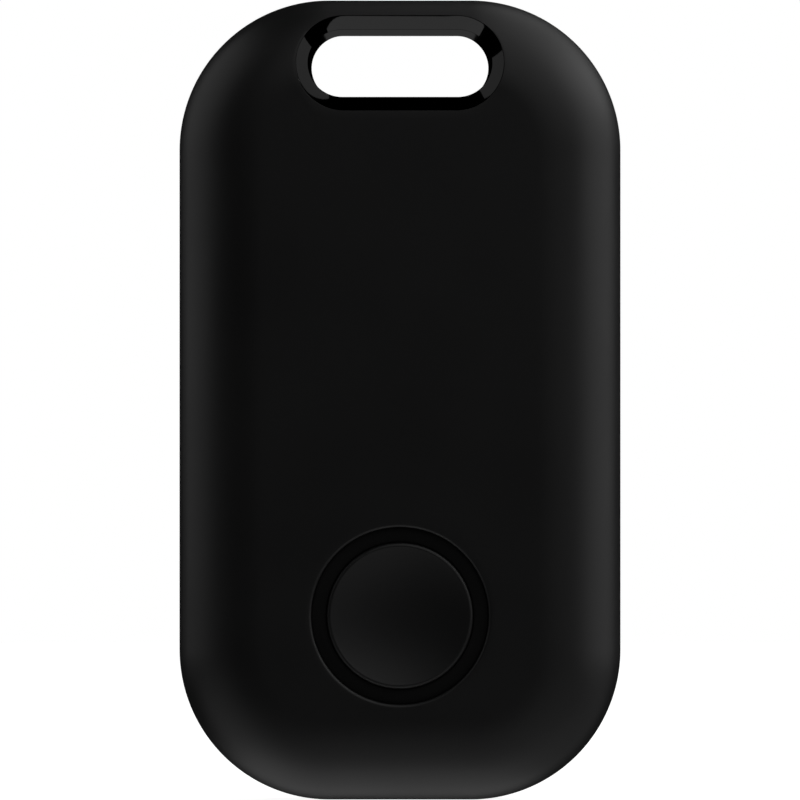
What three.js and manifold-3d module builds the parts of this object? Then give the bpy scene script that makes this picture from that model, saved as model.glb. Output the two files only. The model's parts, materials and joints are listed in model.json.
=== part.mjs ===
// A wireless tracker tag: a flat, round-cornered case with a slot for a key ring at its top end and a
// push button near its bottom end. Millimetres.
//
// The pieces are modelled in the tag's own frame and the whole group is then stood upright:
//   x runs across the tag, y runs up it, z runs from its back to its front;
//   the origin is the middle of the key-ring slot, half way through the thickness.
// Stood upright, y becomes +Z and the front looks along -Y.
import * as THREE from "three";
import { mergeVertices } from "three/addons/utils/BufferGeometryUtils.js";
import Module from "manifold-3d";

const wasm = await Module();
wasm.setup();

// ---------------------------------------------------------------- driving dimensions

// Case
const WIDTH = 28.7;
const HEIGHT = 52.0;
const CORNER_R = 9.75;
const FRONT_WALL = 1.1;
const REAR_WALL = 1.0;
const SIDE_WALL = 1.2;
const FRONT_ROLL = 5.5; // how far the rounded front edge reaches in from the outline
const REAR_ROLL = 3.5;
const SEAM_GAP = 0.1; // open line between the front shell and the rear cover
const SEAM_BELOW_BOARD = 1.7; // from the board's rear face to the middle of the seam

// Key-ring slot
const SLOT_STRAIGHT = 7.46; // between the centres of the slot's round ends
const SLOT_R = 2.22; // at the front
const SLOT_DRAFT = 0.16; // the slot is narrower by this much on each side at the rear
const LINER_WALL = 0.88; // along the slot's straights, and the width of the chamfers there
const LINER_END_WALL = 0.75; // at the slot's two ends
const CHAMFER_DEPTH = 0.5; // the liner's hole starts this far below the case's surface
const TOP_WALL = 1.15; // from the liner to the tag's top edge
const TUNNEL_WALL = 0.85; // case wall around the liner

// Button and its seal
const BUTTON_R = 4.72;
const BUTTON_TO_ROLL = 0.9; // flat face left between the button's opening and the rolled bottom edge
const BUTTON_TRAVEL = 0.25;
const BUTTON_BELOW_FRONT = 0.1; // the rim sits this far below the front face
const DISH_R = 4.42;
const DISH_DEPTH = 0.7;
const SEAL_RING = 0.85; // width of the elastomer ring that shows
const SEAL_RECESS = 0.5; // the ring's face below the front face
const SEAL_LIP = 1.05; // how far the seal reaches behind the front wall
const SEAL_LIP_THICK = 0.45;

// Board
const BOARD_THICK = 0.6;
const BOARD_INSET = 2.6; // board edge from the tag's outline
const SWITCH_ROOM = 1.4; // board's front face to the front wall
const SCREW_FROM_EDGE = 1.9;
const BOSS_R = 1.2;
const PILOT_R = 0.45;
const PILOT_DEPTH = 1.4;
const SHANK_R = 0.4;
const SHANK_LENGTH = 1.85;
const SCREW_HEAD_R = 1.0;
const SCREW_HEAD = 0.5;
const BOARD_HOLE_R = 0.55;

// Coin cell, 20 mm across and 3.2 mm thick
const CELL_R = 10.0;
const CELL_THICK = 3.2;
const CELL_WALL = 0.25;
const CELL_TO_TUNNEL = 0.64;
const CELL_CONTACT_GAP = 0.2; // board to cell
const CELL_CRIMP = 0.25; // the can's rim below the cap's face
const FOAM_ROOM = 0.5; // cell to the rear wall
const FOAM_R = 6.0;

// Buzzer
const BUZZER_R = 7.0;
const BUZZER_PLATE = 0.2;
const CERAMIC_R = 4.7;
const CERAMIC_THICK = 0.18;
const BUZZER_SEAT = 0.4; // height of the ring that the buzzer sits on
const BUZZER_SEAT_WIDTH = 1.3;
const ADHESIVE_THICK = 0.1;
const SOUND_HOLE_R = 0.35;
const SOUND_HOLE_PITCH = 1.3;
const MESH_R = 2.2;
const MESH_THICK = 0.1;

// Snap lip, gasket and pry notch of the rear cover
const LIP_INSET = 1.6;
const LIP_THICK = 0.65;
const LIP_HEIGHT = 1.15; // above the cover's rim
const LIP_ROOT = 0.75; // below the cover's rim
const GASKET_INSET = 0.35;
const GASKET_WIDTH = 0.4;
const GASKET_HEIGHT = 0.42;
const GASKET_PROUD = 0.07; // above the cover's rim
const NOTCH_WIDTH = 6.0;
const NOTCH_HEIGHT = 0.6;
const NOTCH_DEPTH = 0.25;

// Fits
const FIT = 0.05; // between parts that seat on each other
const BUTTON_FIT = 0.08; // button in its seal
const LOOSE = 0.3; // between parts that only pass each other
const LAYER = 0.03; // between glued or stacked layers
const CUT = 1.0; // how far a cutter runs past the face it cuts

// Facets
const CORNER_STEPS = 5; // half the facets on a quarter turn of the outline
const SLOT_STEPS = 6; // half the facets on each round end of the slot
const ROUND = 32;
const SMALL_ROUND = 16;
const ROLL_STEPS = 7;

// ---------------------------------------------------------------- places worked out from them

const linerR = SLOT_R + LINER_WALL;
const linerStraight = SLOT_STRAIGHT - 2 * (LINER_WALL - LINER_END_WALL);
const tunnelBoreR = linerR + FIT;
const tunnelR = tunnelBoreR + TUNNEL_WALL;
const slotToTop = linerR + TOP_WALL;
const centreY = slotToTop - HEIGHT / 2;
const bottomY = slotToTop - HEIGHT;
const openingR = BUTTON_R + BUTTON_FIT + SEAL_RING + FIT;
const sealR = openingR + SEAL_LIP;
const buttonY = bottomY + FRONT_ROLL + BUTTON_TO_ROLL + openingR;
const cellY = -(tunnelR + CELL_TO_TUNNEL + CELL_R);
const cellEndY = cellY - CELL_R;

// The thickness is the sum of what is stacked in it.
const thickness =
  FRONT_WALL + SWITCH_ROOM + BOARD_THICK + CELL_CONTACT_GAP + CELL_THICK + FOAM_ROOM + REAR_WALL;
const frontZ = thickness / 2;
const rearZ = -thickness / 2;
const frontInnerZ = frontZ - FRONT_WALL;
const rearInnerZ = rearZ + REAR_WALL;
const boardFrontZ = frontInnerZ - SWITCH_ROOM;
const boardRearZ = boardFrontZ - BOARD_THICK;
const mountZ = boardRearZ - FIT; // where parts soldered to the board's rear face start
const cellFrontZ = boardRearZ - CELL_CONTACT_GAP;
const cellRearZ = cellFrontZ - CELL_THICK;
const seamZ = boardRearZ - SEAM_BELOW_BOARD;
const shellRimZ = seamZ + SEAM_GAP / 2;
const coverRimZ = seamZ - SEAM_GAP / 2;

// The tact switch, from the board up
const switchBaseTop = boardFrontZ + 0.5;
const switchCoverZ = switchBaseTop + FIT;
const SWITCH_COVER_THICK = 0.1;
const SWITCH_SIZE = 3.4;
const SWITCH_BORE_R = 1.3;
const PLUNGER_FLANGE_R = 1.1;
const PLUNGER_R = 0.65;
const plungerFlangeZ = boardFrontZ + BUTTON_TRAVEL + 0.1;
const PLUNGER_FLANGE = 0.12;
const plungerTopZ = switchCoverZ + SWITCH_COVER_THICK + BUTTON_TRAVEL + 0.2;
const DOME_R = 1.2;
const DOME_THICK = 0.06;
const domeRimZ = boardFrontZ + 0.07;
const domeTopZ = plungerFlangeZ - FIT;

const buttonRimZ = frontZ - BUTTON_BELOW_FRONT;
const buttonUnderZ = plungerTopZ + FIT;

// The buzzer's stack, from the rear wall up
const seatTopZ = rearInnerZ + BUZZER_SEAT;
const adhesiveZ = seatTopZ + LAYER;
const plateZ = adhesiveZ + ADHESIVE_THICK + LAYER;
const ceramicZ = plateZ + BUZZER_PLATE + LAYER;

// ---------------------------------------------------------------- rings: flat outlines of points

// The tag's outline moved in by an inset, anticlockwise.
function outline(inset) {
  const radius = CORNER_R - inset;
  const x = WIDTH / 2 - CORNER_R;
  const y = HEIGHT / 2 - CORNER_R;
  const path = new THREE.Path();
  const corners = [[x, y], [-x, y], [-x, -y], [x, -y]];
  corners.forEach(([cx, cy], i) => {
    path.absarc(cx, centreY + cy, radius, (i * Math.PI) / 2, ((i + 1) * Math.PI) / 2, false);
  });
  return path.getPoints(CORNER_STEPS);
}

// Two half circles joined by straights, at a radius from their centre line. The outside of the liner
// and all that is fitted round it have one centre line, and the hole in it has a longer one.
function stadium(radius, straight = linerStraight) {
  const path = new THREE.Path();
  path.absarc(straight / 2, 0, radius, -Math.PI / 2, Math.PI / 2, false);
  path.absarc(-straight / 2, 0, radius, Math.PI / 2, (3 * Math.PI) / 2, false);
  return path.getPoints(SLOT_STEPS);
}

const atHeight = (points, z) => points.map((p) => new THREE.Vector3(p.x, p.y, z));

// Distance from a point in to the tag's outline.
function insetAt(x, y) {
  const qx = Math.abs(x) - (WIDTH / 2 - CORNER_R);
  const qy = Math.abs(y - centreY) - (HEIGHT / 2 - CORNER_R);
  const outside = Math.hypot(Math.max(qx, 0), Math.max(qy, 0));
  return CORNER_R - outside - Math.min(Math.max(qx, qy), 0);
}

// Height of an edge rounded by a quarter of an ellipse, at an inset from the outline.
function rolledHeight(inset, roll, rimZ, faceZ) {
  const across = Math.min(Math.max((roll - inset) / roll, 0), 1);
  return rimZ + (faceZ - rimZ) * Math.sqrt(1 - across * across);
}

// ---------------------------------------------------------------- solids

// A body through rings of equally many points, each a list of Vector3. Open lofts are capped at both
// ends, and closed ones join the last ring to the first.
function loft(rings, closed = false) {
  const count = rings[0].length;
  const positions = rings.flat().flatMap((p) => [p.x, p.y, p.z]);
  const index = [];
  const bands = closed ? rings.length : rings.length - 1;
  for (let band = 0; band < bands; band++) {
    const low = band * count;
    const high = ((band + 1) % rings.length) * count;
    for (let i = 0; i < count; i++) {
      const next = (i + 1) % count;
      index.push(low + i, low + next, high + next, low + i, high + next, high + i);
    }
  }
  if (!closed) {
    const last = (rings.length - 1) * count;
    for (let i = 1; i < count - 1; i++) {
      index.push(0, i + 1, i, last, last + i, last + i + 1);
    }
  }
  const geometry = new THREE.BufferGeometry();
  geometry.setAttribute("position", new THREE.Float32BufferAttribute(positions, 3));
  geometry.setIndex(index);
  return geometry;
}

// A prism between two heights on a flat ring of points.
const prism = (points, low, high) => loft([atHeight(points, low), atHeight(points, high)]);

// A ring-shaped body whose section is a list of [offset, z], carried round the outline that a function
// gives for each offset.
const carried = (section, ring) => loft(section.map(([offset, z]) => atHeight(ring(offset), z)), true);

// A body turned about the z axis from a profile of [radius, z].
function turned(profile, sides = ROUND) {
  const points = profile.map(([r, z]) => new THREE.Vector2(r, z));
  return new THREE.LatheGeometry(points, sides).rotateX(Math.PI / 2);
}

// A turned body whose profile closes on itself, away from the axis.
const turnedRing = (profile, sides) => turned([...profile, profile[0]], sides);

function cylinder(radius, low, high, sides = ROUND) {
  const geometry = new THREE.CylinderGeometry(radius, radius, high - low, sides);
  return geometry.rotateX(Math.PI / 2).translate(0, 0, (low + high) / 2);
}

// A box from its middle, size and heights.
function block(x, y, sizeX, sizeY, low, high) {
  return new THREE.BoxGeometry(sizeX, sizeY, high - low).translate(x, y, (low + high) / 2);
}

// A bent metal strip: a route of [y, z] given a thickness, as wide as `width` along x.
function strip(route, thick, width) {
  const points = route.map(([y, z]) => new THREE.Vector2(y, z));
  const sides = [1, -1].map((side) =>
    points.map((p, i) => {
      const before = points[Math.max(i - 1, 0)];
      const after = points[Math.min(i + 1, points.length - 1)];
      const along = after.clone().sub(before).normalize();
      return new THREE.Vector2(p.x - (side * along.y * thick) / 2, p.y + (side * along.x * thick) / 2);
    }),
  );
  const shape = new THREE.Shape([...sides[0], ...sides[1].reverse()]);
  const geometry = new THREE.ExtrudeGeometry(shape, { depth: width, bevelEnabled: false });
  return geometry
    .translate(0, 0, -width / 2)
    .applyMatrix4(new THREE.Matrix4().set(0, 0, 1, 0, 1, 0, 0, 0, 0, 1, 0, 0, 0, 0, 0, 1));
}

// ---------------------------------------------------------------- joining and cutting

function toSolid(geometry) {
  const bare = new THREE.BufferGeometry().setAttribute("position", geometry.getAttribute("position"));
  if (geometry.index) bare.setIndex(geometry.index);
  const merged = mergeVertices(bare, 1e-4);
  const mesh = new wasm.Mesh({
    numProp: 3,
    vertProperties: merged.attributes.position.array,
    triVerts: new Uint32Array(merged.index.array),
  });
  return new wasm.Manifold(mesh);
}

function toGeometry(solid) {
  const mesh = solid.getMesh();
  const geometry = new THREE.BufferGeometry();
  geometry.setAttribute("position", new THREE.BufferAttribute(mesh.vertProperties, 3));
  geometry.setIndex(new THREE.BufferAttribute(mesh.triVerts, 1));
  return geometry;
}

const cutFrom = (solid, cutters) => cutters.reduce((left, cutter) => left.subtract(toSolid(cutter)), solid);
const joinTo = (solid, pieces) => pieces.reduce((whole, piece) => whole.add(toSolid(piece)), solid);

// ---------------------------------------------------------------- the case

// Points of a quarter ellipse as [inset, z], from the rim to where it meets the flat face.
function rolledProfile(roll, wall, rimZ, faceZ) {
  const profile = [];
  for (let step = 0; step <= ROLL_STEPS; step++) {
    const turn = (step / ROLL_STEPS) * (Math.PI / 2);
    profile.push([roll - (roll - wall) * Math.cos(turn), rimZ + (faceZ - rimZ) * Math.sin(turn)]);
  }
  return profile;
}

// Half of the case, before its holes: a rolled shell with a wall round the slot. `rimZ` is its open
// edge, and the faces are on the same side of it as `faceZ`.
function caseHalf(roll, rimZ, faceZ, innerZ) {
  const rings = (profile) => profile.map(([inset, z]) => atHeight(outline(inset), z));
  const up = faceZ > rimZ;
  const upright = (list) => (up ? list : list.reverse());
  const outer = loft(upright(rings(rolledProfile(roll, 0, rimZ, faceZ))));
  const mouth = atHeight(outline(SIDE_WALL), rimZ + (up ? -CUT : CUT));
  const hollow = loft(upright([mouth, ...rings(rolledProfile(roll, SIDE_WALL, rimZ, innerZ))]));
  const low = Math.min(rimZ, faceZ);
  const high = Math.max(rimZ, faceZ);
  const tunnel = prism(stadium(tunnelR), low, high);
  const bore = prism(stadium(tunnelBoreR), low - CUT, high + CUT);
  return toSolid(outer).subtract(toSolid(hollow).subtract(toSolid(tunnel))).subtract(toSolid(bore));
}

// The four board screws: a pair beside the slot and a pair in the bottom corners.
const screwPlaces = [[1, 1, 30], [-1, 1, 30], [-1, -1, 45], [1, -1, 45]].map(([sideX, sideY, angle]) => {
  const reach = CORNER_R - BOARD_INSET - SCREW_FROM_EDGE;
  const turn = THREE.MathUtils.degToRad(angle);
  return {
    x: sideX * (WIDTH / 2 - CORNER_R + reach * Math.cos(turn)),
    y: centreY + sideY * (HEIGHT / 2 - CORNER_R + reach * Math.sin(turn)),
  };
});

function frontShell() {
  const opening = cylinder(openingR, frontInnerZ - CUT, frontZ + CUT).translate(0, buttonY, 0);
  const bosses = screwPlaces.map(({ x, y }) =>
    cylinder(BOSS_R, boardFrontZ + FIT, frontInnerZ + LOOSE, SMALL_ROUND).translate(x, y, 0),
  );
  const pilots = screwPlaces.map(({ x, y }) =>
    cylinder(PILOT_R, boardFrontZ, boardFrontZ + FIT + PILOT_DEPTH, SMALL_ROUND).translate(x, y, 0),
  );
  const shell = cutFrom(caseHalf(FRONT_ROLL, shellRimZ, frontZ, frontInnerZ), [opening]);
  return toGeometry(cutFrom(joinTo(shell, bosses), pilots));
}

// The groove for the gasket, and the gasket itself, follow the case's rim and the wall round the slot.
function rimLoops(inset, width, low, high) {
  const section = (near, far) => [[near, low], [near, high], [far, high], [far, low]];
  const edge = carried(section(inset, inset + width), outline);
  const slotEdge = tunnelBoreR + TOP_WALL - FIT - inset;
  const slot = carried(section(slotEdge, slotEdge - width), stadium);
  return toSolid(edge).add(toSolid(slot));
}

function rearCover() {
  const grooveLow = coverRimZ + GASKET_PROUD - GASKET_HEIGHT - FIT;
  const groove = rimLoops(GASKET_INSET - FIT, GASKET_WIDTH + 2 * FIT, grooveLow, coverRimZ + CUT);
  const lipInner = LIP_INSET + LIP_THICK;
  const rootInset = GASKET_INSET + GASKET_WIDTH + 3 * FIT;
  const lip = carried(
    [
      [rootInset, coverRimZ - LIP_ROOT],
      [rootInset, coverRimZ],
      [LIP_INSET, coverRimZ],
      [LIP_INSET, coverRimZ + LIP_HEIGHT],
      [lipInner, coverRimZ + LIP_HEIGHT],
      [lipInner, coverRimZ - LIP_ROOT],
    ],
    outline,
  );
  const tunnelRoom = prism(stadium(tunnelR + 3 * FIT), coverRimZ, coverRimZ + LIP_HEIGHT + CUT);
  const bore = prism(stadium(tunnelBoreR), rearZ - CUT, coverRimZ + CUT);
  const seat = turnedRing([
    [BUZZER_R - BUZZER_SEAT_WIDTH + LOOSE, rearInnerZ - LOOSE],
    [BUZZER_R + LOOSE, rearInnerZ - LOOSE],
    [BUZZER_R + LOOSE, seatTopZ],
    [BUZZER_R - BUZZER_SEAT_WIDTH + LOOSE, seatTopZ],
  ]).translate(0, buttonY, 0);
  const holes = [[0, 0], [1, 0], [-1, 0], [0, 1], [0, -1]].map(([x, y]) =>
    cylinder(SOUND_HOLE_R, rearZ - CUT, seatTopZ, SMALL_ROUND)
      .translate(x * SOUND_HOLE_PITCH, buttonY + y * SOUND_HOLE_PITCH, 0),
  );
  const notch = block(
    0, bottomY, NOTCH_WIDTH, 2 * NOTCH_DEPTH, coverRimZ - NOTCH_HEIGHT, coverRimZ + CUT,
  );
  const lipSolid = toSolid(lip).subtract(toSolid(tunnelRoom)).subtract(toSolid(bore));
  const cover = caseHalf(REAR_ROLL, coverRimZ, rearZ, rearInnerZ).add(lipSolid).subtract(groove);
  return toGeometry(cutFrom(joinTo(cover, [seat]), [...holes, notch]));
}

function coverGasket() {
  const top = coverRimZ + GASKET_PROUD;
  return toGeometry(rimLoops(GASKET_INSET, GASKET_WIDTH, top - GASKET_HEIGHT, top));
}

// The liner's straight outer wall stands in both case halves. Its chamfers start where that wall meets
// the rolled faces, so they follow the curve of the case.
function slotLiner() {
  const wall = stadium(linerR);
  const holeFront = stadium(SLOT_R, SLOT_STRAIGHT);
  const holeRear = stadium(SLOT_R - SLOT_DRAFT, SLOT_STRAIGHT);
  const frontEdge = wall.map((p) => rolledHeight(insetAt(p.x, p.y), FRONT_ROLL, shellRimZ, frontZ));
  const rearEdge = wall.map((p) => rolledHeight(insetAt(p.x, p.y), REAR_ROLL, coverRimZ, rearZ));
  const ring = (points, heights, shift) =>
    points.map((p, i) => new THREE.Vector3(p.x, p.y, heights[i] + shift));
  return loft(
    [
      ring(wall, rearEdge, 0),
      ring(wall, frontEdge, 0),
      ring(holeFront, frontEdge, -CHAMFER_DEPTH),
      ring(holeRear, rearEdge, CHAMFER_DEPTH),
    ],
    true,
  );
}

// ---------------------------------------------------------------- the button

function buttonCap() {
  const dish = [];
  const dishSteps = 4;
  for (let step = 0; step < dishSteps; step++) {
    const share = 1 - step / dishSteps;
    dish.push([DISH_R * share, buttonRimZ - DISH_DEPTH * (1 - share * share)]);
  }
  return turned([
    [0, buttonUnderZ],
    [BUTTON_R, buttonUnderZ],
    [BUTTON_R, buttonRimZ - 0.1],
    [BUTTON_R - 0.1, buttonRimZ],
    ...dish,
    [0, buttonRimZ - DISH_DEPTH],
  ]);
}

function buttonSeal() {
  const holeR = BUTTON_R + BUTTON_FIT;
  const lipTop = frontInnerZ - FIT;
  return turnedRing([
    [holeR, lipTop - SEAL_LIP_THICK],
    [sealR, lipTop - SEAL_LIP_THICK],
    [sealR, lipTop],
    [openingR - FIT, lipTop],
    [openingR - FIT, frontZ - SEAL_RECESS],
    [holeR, frontZ - SEAL_RECESS],
  ]);
}

// ---------------------------------------------------------------- the tact switch

const squareRing = (boreR, low, high) =>
  toGeometry(
    cutFrom(toSolid(block(0, 0, SWITCH_SIZE, SWITCH_SIZE, low, high)), [
      cylinder(boreR, low - CUT, high + CUT, SMALL_ROUND),
    ]),
  );

const switchBase = () => squareRing(SWITCH_BORE_R, boardFrontZ + FIT, switchBaseTop);
const switchCover = () =>
  squareRing(PLUNGER_R + 3 * FIT, switchCoverZ, switchCoverZ + SWITCH_COVER_THICK);

function switchDome() {
  const steps = 3;
  const arc = (radius, top) =>
    Array.from({ length: steps + 1 }, (_, i) => {
      const share = 1 - i / steps;
      return [radius * share, domeRimZ + (top - domeRimZ) * (1 - share * share)];
    });
  const under = arc(DOME_R - DOME_THICK, domeTopZ - DOME_THICK).reverse();
  return turned([...under, ...arc(DOME_R, domeTopZ)], SMALL_ROUND);
}

const switchPlunger = () =>
  turned(
    [
      [0, plungerFlangeZ],
      [PLUNGER_FLANGE_R, plungerFlangeZ],
      [PLUNGER_FLANGE_R, plungerFlangeZ + PLUNGER_FLANGE],
      [PLUNGER_R, plungerFlangeZ + PLUNGER_FLANGE],
      [PLUNGER_R, plungerTopZ],
      [0, plungerTopZ],
    ],
    SMALL_ROUND,
  );

// ---------------------------------------------------------------- the board and what is on it

function board() {
  const blank = toSolid(prism(outline(BOARD_INSET), boardRearZ, boardFrontZ));
  const slotRoom = prism(stadium(tunnelR + LOOSE), boardRearZ - CUT, boardFrontZ + CUT);
  const holes = screwPlaces.map(({ x, y }) =>
    cylinder(BOARD_HOLE_R, boardRearZ - CUT, boardFrontZ + CUT, SMALL_ROUND).translate(x, y, 0),
  );
  return toGeometry(cutFrom(blank, [slotRoom, ...holes]));
}

const boardScrew = () =>
  turned(
    [
      [0, mountZ - SCREW_HEAD],
      [SCREW_HEAD_R - FIT, mountZ - SCREW_HEAD],
      [SCREW_HEAD_R, mountZ - SCREW_HEAD + FIT],
      [SCREW_HEAD_R, mountZ],
      [SHANK_R, mountZ],
      [SHANK_R, mountZ + SHANK_LENGTH],
      [0, mountZ + SHANK_LENGTH],
    ],
    SMALL_ROUND,
  );

// Soldered parts on the board's rear face, between the cell and the bottom edge: place, size and height.
const boardParts = {
  bluetooth_chip: { x: -6.6, y: cellEndY - 5.4, size: [5, 5, 0.8] },
  main_crystal: { x: 4.2, y: cellEndY - 4.6, size: [2.5, 2, 0.6] },
  clock_crystal: { x: 8.4, y: cellEndY - 6.2, size: [1.5, 3.2, 0.7] },
  chip_antenna: { x: 0, y: bottomY + BOARD_INSET + 1.6, size: [5.2, 1.6, 1] },
  buzzer_inductor: { x: 8.6, y: cellEndY - 10, size: [2, 2.5, 0.9] },
  capacitor_1: { x: -6.6, y: cellEndY - 9, size: [1.6, 0.8, 0.7] },
  capacitor_2: { x: -9.4, y: cellEndY - 9.4, size: [0.8, 1.6, 0.7] },
  capacitor_3: { x: 4.2, y: bottomY + BOARD_INSET + 3.4, size: [1, 0.5, 0.5] },
};

const CONTACT_METAL = 0.12;

// The cell's cap rests on a flat leaf under the board.
function negativeContact() {
  return block(0, cellY, 7, 3, cellFrontZ + FIT, cellFrontZ + FIT + CONTACT_METAL - LAYER);
}

// A sprung tongue beside the cell, pressing on the side of its can.
function positiveContact() {
  const footZ = mountZ - CONTACT_METAL / 2;
  const touchY = cellEndY - FIT - CONTACT_METAL / 2;
  return strip(
    [
      [touchY - 2.4, footZ],
      [touchY - 0.7, footZ],
      [touchY - 0.35, footZ - 0.35],
      [touchY - 0.3, footZ - 1],
      [touchY, footZ - 1.6],
      [touchY - 0.35, footZ - 2.2],
    ],
    CONTACT_METAL,
    5,
  );
}

// A bowed finger from the board to a face of the buzzer.
function buzzerContact(touchZ) {
  const footZ = mountZ - CONTACT_METAL / 2;
  const tipZ = touchZ + FIT + CONTACT_METAL / 2;
  return strip(
    [[1.6, footZ], [0.2, footZ], [-0.3, footZ - 0.4], [0.9, tipZ + 0.3], [1.4, tipZ], [1.9, tipZ + 0.2]],
    CONTACT_METAL,
    1.2,
  );
}

// ---------------------------------------------------------------- the coin cell

// The can is a cup, its rim turned in over the grommet, which holds the cap.
const canInnerR = CELL_R - CELL_WALL;
const grommetR = canInnerR - 0.1;
const GROMMET_WALL = 0.45;
const capR = grommetR - GROMMET_WALL - 0.1;

function cellCan() {
  const rimZ = cellFrontZ - CELL_CRIMP;
  return turned([
    [0, cellRearZ],
    [CELL_R - 0.15, cellRearZ],
    [CELL_R, cellRearZ + 0.15],
    [CELL_R, rimZ - 0.25],
    [CELL_R - 0.15, rimZ],
    [canInnerR, rimZ],
    [canInnerR, cellRearZ + CELL_WALL],
    [0, cellRearZ + CELL_WALL],
  ]);
}

function cellGrommet() {
  const low = cellRearZ + CELL_WALL + FIT;
  const high = cellFrontZ - CELL_CRIMP - LAYER;
  return turnedRing([
    [grommetR - GROMMET_WALL, low],
    [grommetR, low],
    [grommetR, high],
    [grommetR - GROMMET_WALL, high],
  ]);
}

function cellCap() {
  const skirtZ = cellRearZ + 0.6;
  return turned([
    [0, cellFrontZ - CELL_WALL],
    [capR - CELL_WALL - 0.15, cellFrontZ - CELL_WALL],
    [capR - CELL_WALL, cellFrontZ - CELL_WALL - 0.15],
    [capR - CELL_WALL, skirtZ],
    [capR, skirtZ],
    [capR, cellFrontZ - CELL_CRIMP - 0.2],
    [capR - 0.3, cellFrontZ],
    [0, cellFrontZ],
  ]);
}

const packR = capR - CELL_WALL - 0.25;
const cathodeTopZ = cellRearZ + 0.6 * CELL_THICK;
const cellCathode = () => cylinder(packR, cellRearZ + CELL_WALL + FIT, cathodeTopZ);
const cellAnode = () => cylinder(packR, cathodeTopZ + FIT, cellFrontZ - CELL_WALL - FIT);

// ---------------------------------------------------------------- the buzzer and the sound port

const adhesiveRing = () =>
  turnedRing([
    [BUZZER_R - BUZZER_SEAT_WIDTH + LOOSE, adhesiveZ],
    [BUZZER_R, adhesiveZ],
    [BUZZER_R, adhesiveZ + ADHESIVE_THICK],
    [BUZZER_R - BUZZER_SEAT_WIDTH + LOOSE, adhesiveZ + ADHESIVE_THICK],
  ]);

// ---------------------------------------------------------------- finishes

const finish = (color, roughness, metalness = 0) => () =>
  new THREE.MeshStandardMaterial({ color, roughness, metalness });
const satinBlack = finish(0x0c0c0c, 0.45);
const glossBlack = finish(0x050505, 0.08);
const elastomer = finish(0x060606, 0.6);
const laminate = finish(0x12402a, 0.5);
const chipBlack = finish(0x18181a, 0.5);
const crystalCan = finish(0xb9bcc0, 0.3, 1);
const ceramicWhite = finish(0xe6e0d2, 0.6);
const capacitorTan = finish(0x9a7f5e, 0.55);
const nickel = finish(0xc4c2ba, 0.28, 1);
const springBronze = finish(0xc9a45c, 0.3, 1);
const brass = finish(0xc8a24a, 0.35, 1);
const steel = finish(0xa9abae, 0.35, 1);
const foam = finish(0x2a2a2c, 0.95);
const cathodeBlack = finish(0x1c1b1a, 0.8);
const glue = finish(0x3a3a3a, 0.8);

// ---------------------------------------------------------------- assembly

const tag = new THREE.Group();
tag.rotation.x = Math.PI / 2;

function place(name, geometry, material, x = 0, y = 0) {
  const mesh = new THREE.Mesh(geometry, material());
  mesh.name = name;
  mesh.position.set(x, y, 0);
  tag.add(mesh);
}

place("front_shell", frontShell(), satinBlack);
place("slot_liner", slotLiner(), glossBlack);
place("rear_cover", rearCover(), satinBlack);
place("cover_gasket", coverGasket(), elastomer);

place("button_cap", buttonCap(), satinBlack, 0, buttonY);
place("button_seal", buttonSeal(), elastomer, 0, buttonY);
place("switch_base", switchBase(), chipBlack, 0, buttonY);
place("switch_cover", switchCover(), nickel, 0, buttonY);
place("switch_dome", switchDome(), nickel, 0, buttonY);
place("switch_plunger", switchPlunger(), chipBlack, 0, buttonY);

place("pcb", board(), laminate);
screwPlaces.forEach(({ x, y }, i) => place(`board_screw_${i + 1}`, boardScrew(), steel, x, y));

const partFinish = {
  main_crystal: crystalCan,
  clock_crystal: crystalCan,
  chip_antenna: ceramicWhite,
  capacitor_1: capacitorTan,
  capacitor_2: capacitorTan,
  capacitor_3: capacitorTan,
};
for (const [name, { x, y, size }] of Object.entries(boardParts)) {
  const body = block(0, 0, size[0], size[1], mountZ - size[2], mountZ);
  place(name, body, partFinish[name] ?? chipBlack, x, y);
}

place("cell_negative_contact", negativeContact(), springBronze);
place("cell_positive_contact", positiveContact(), springBronze);
place("buzzer_contact_1", buzzerContact(ceramicZ + CERAMIC_THICK), springBronze, -2.4, buttonY - 0.8);
place("buzzer_contact_2", buzzerContact(plateZ + BUZZER_PLATE), springBronze, 5.7, buttonY - 1.5);

place("cell_can", cellCan(), nickel, 0, cellY);
place("cell_grommet", cellGrommet(), chipBlack, 0, cellY);
place("cell_cap", cellCap(), nickel, 0, cellY);
place("cell_cathode", cellCathode(), cathodeBlack, 0, cellY);
place("cell_anode", cellAnode(), steel, 0, cellY);
place(
  "cell_foam_pad",
  cylinder(FOAM_R, rearInnerZ + FIT, cellRearZ - FIT, SMALL_ROUND),
  foam, 0, cellY,
);

place("buzzer_adhesive_ring", adhesiveRing(), glue, 0, buttonY);
place("buzzer_plate", cylinder(BUZZER_R, plateZ, plateZ + BUZZER_PLATE), brass, 0, buttonY);
place(
  "buzzer_ceramic",
  cylinder(CERAMIC_R, ceramicZ, ceramicZ + CERAMIC_THICK),
  ceramicWhite, 0, buttonY,
);
place(
  "sound_port_mesh",
  cylinder(MESH_R, rearInnerZ + LAYER, rearInnerZ + LAYER + MESH_THICK, SMALL_ROUND),
  steel, 0, buttonY,
);

export default tag;
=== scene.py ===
"""A wireless tracker tag, modelled as an add-on: the case, the slot liner, the button and what is inside.

Shapes are worked out in the tag's own frame, in millimetres: x across the tag, y up it from the middle of
the key-ring slot, z out of its front. to_world() turns them into the scene's frame, in metres.
"""
import json
import math

import bmesh
import bpy
import numpy as np
from mathutils import Matrix, Vector


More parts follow.
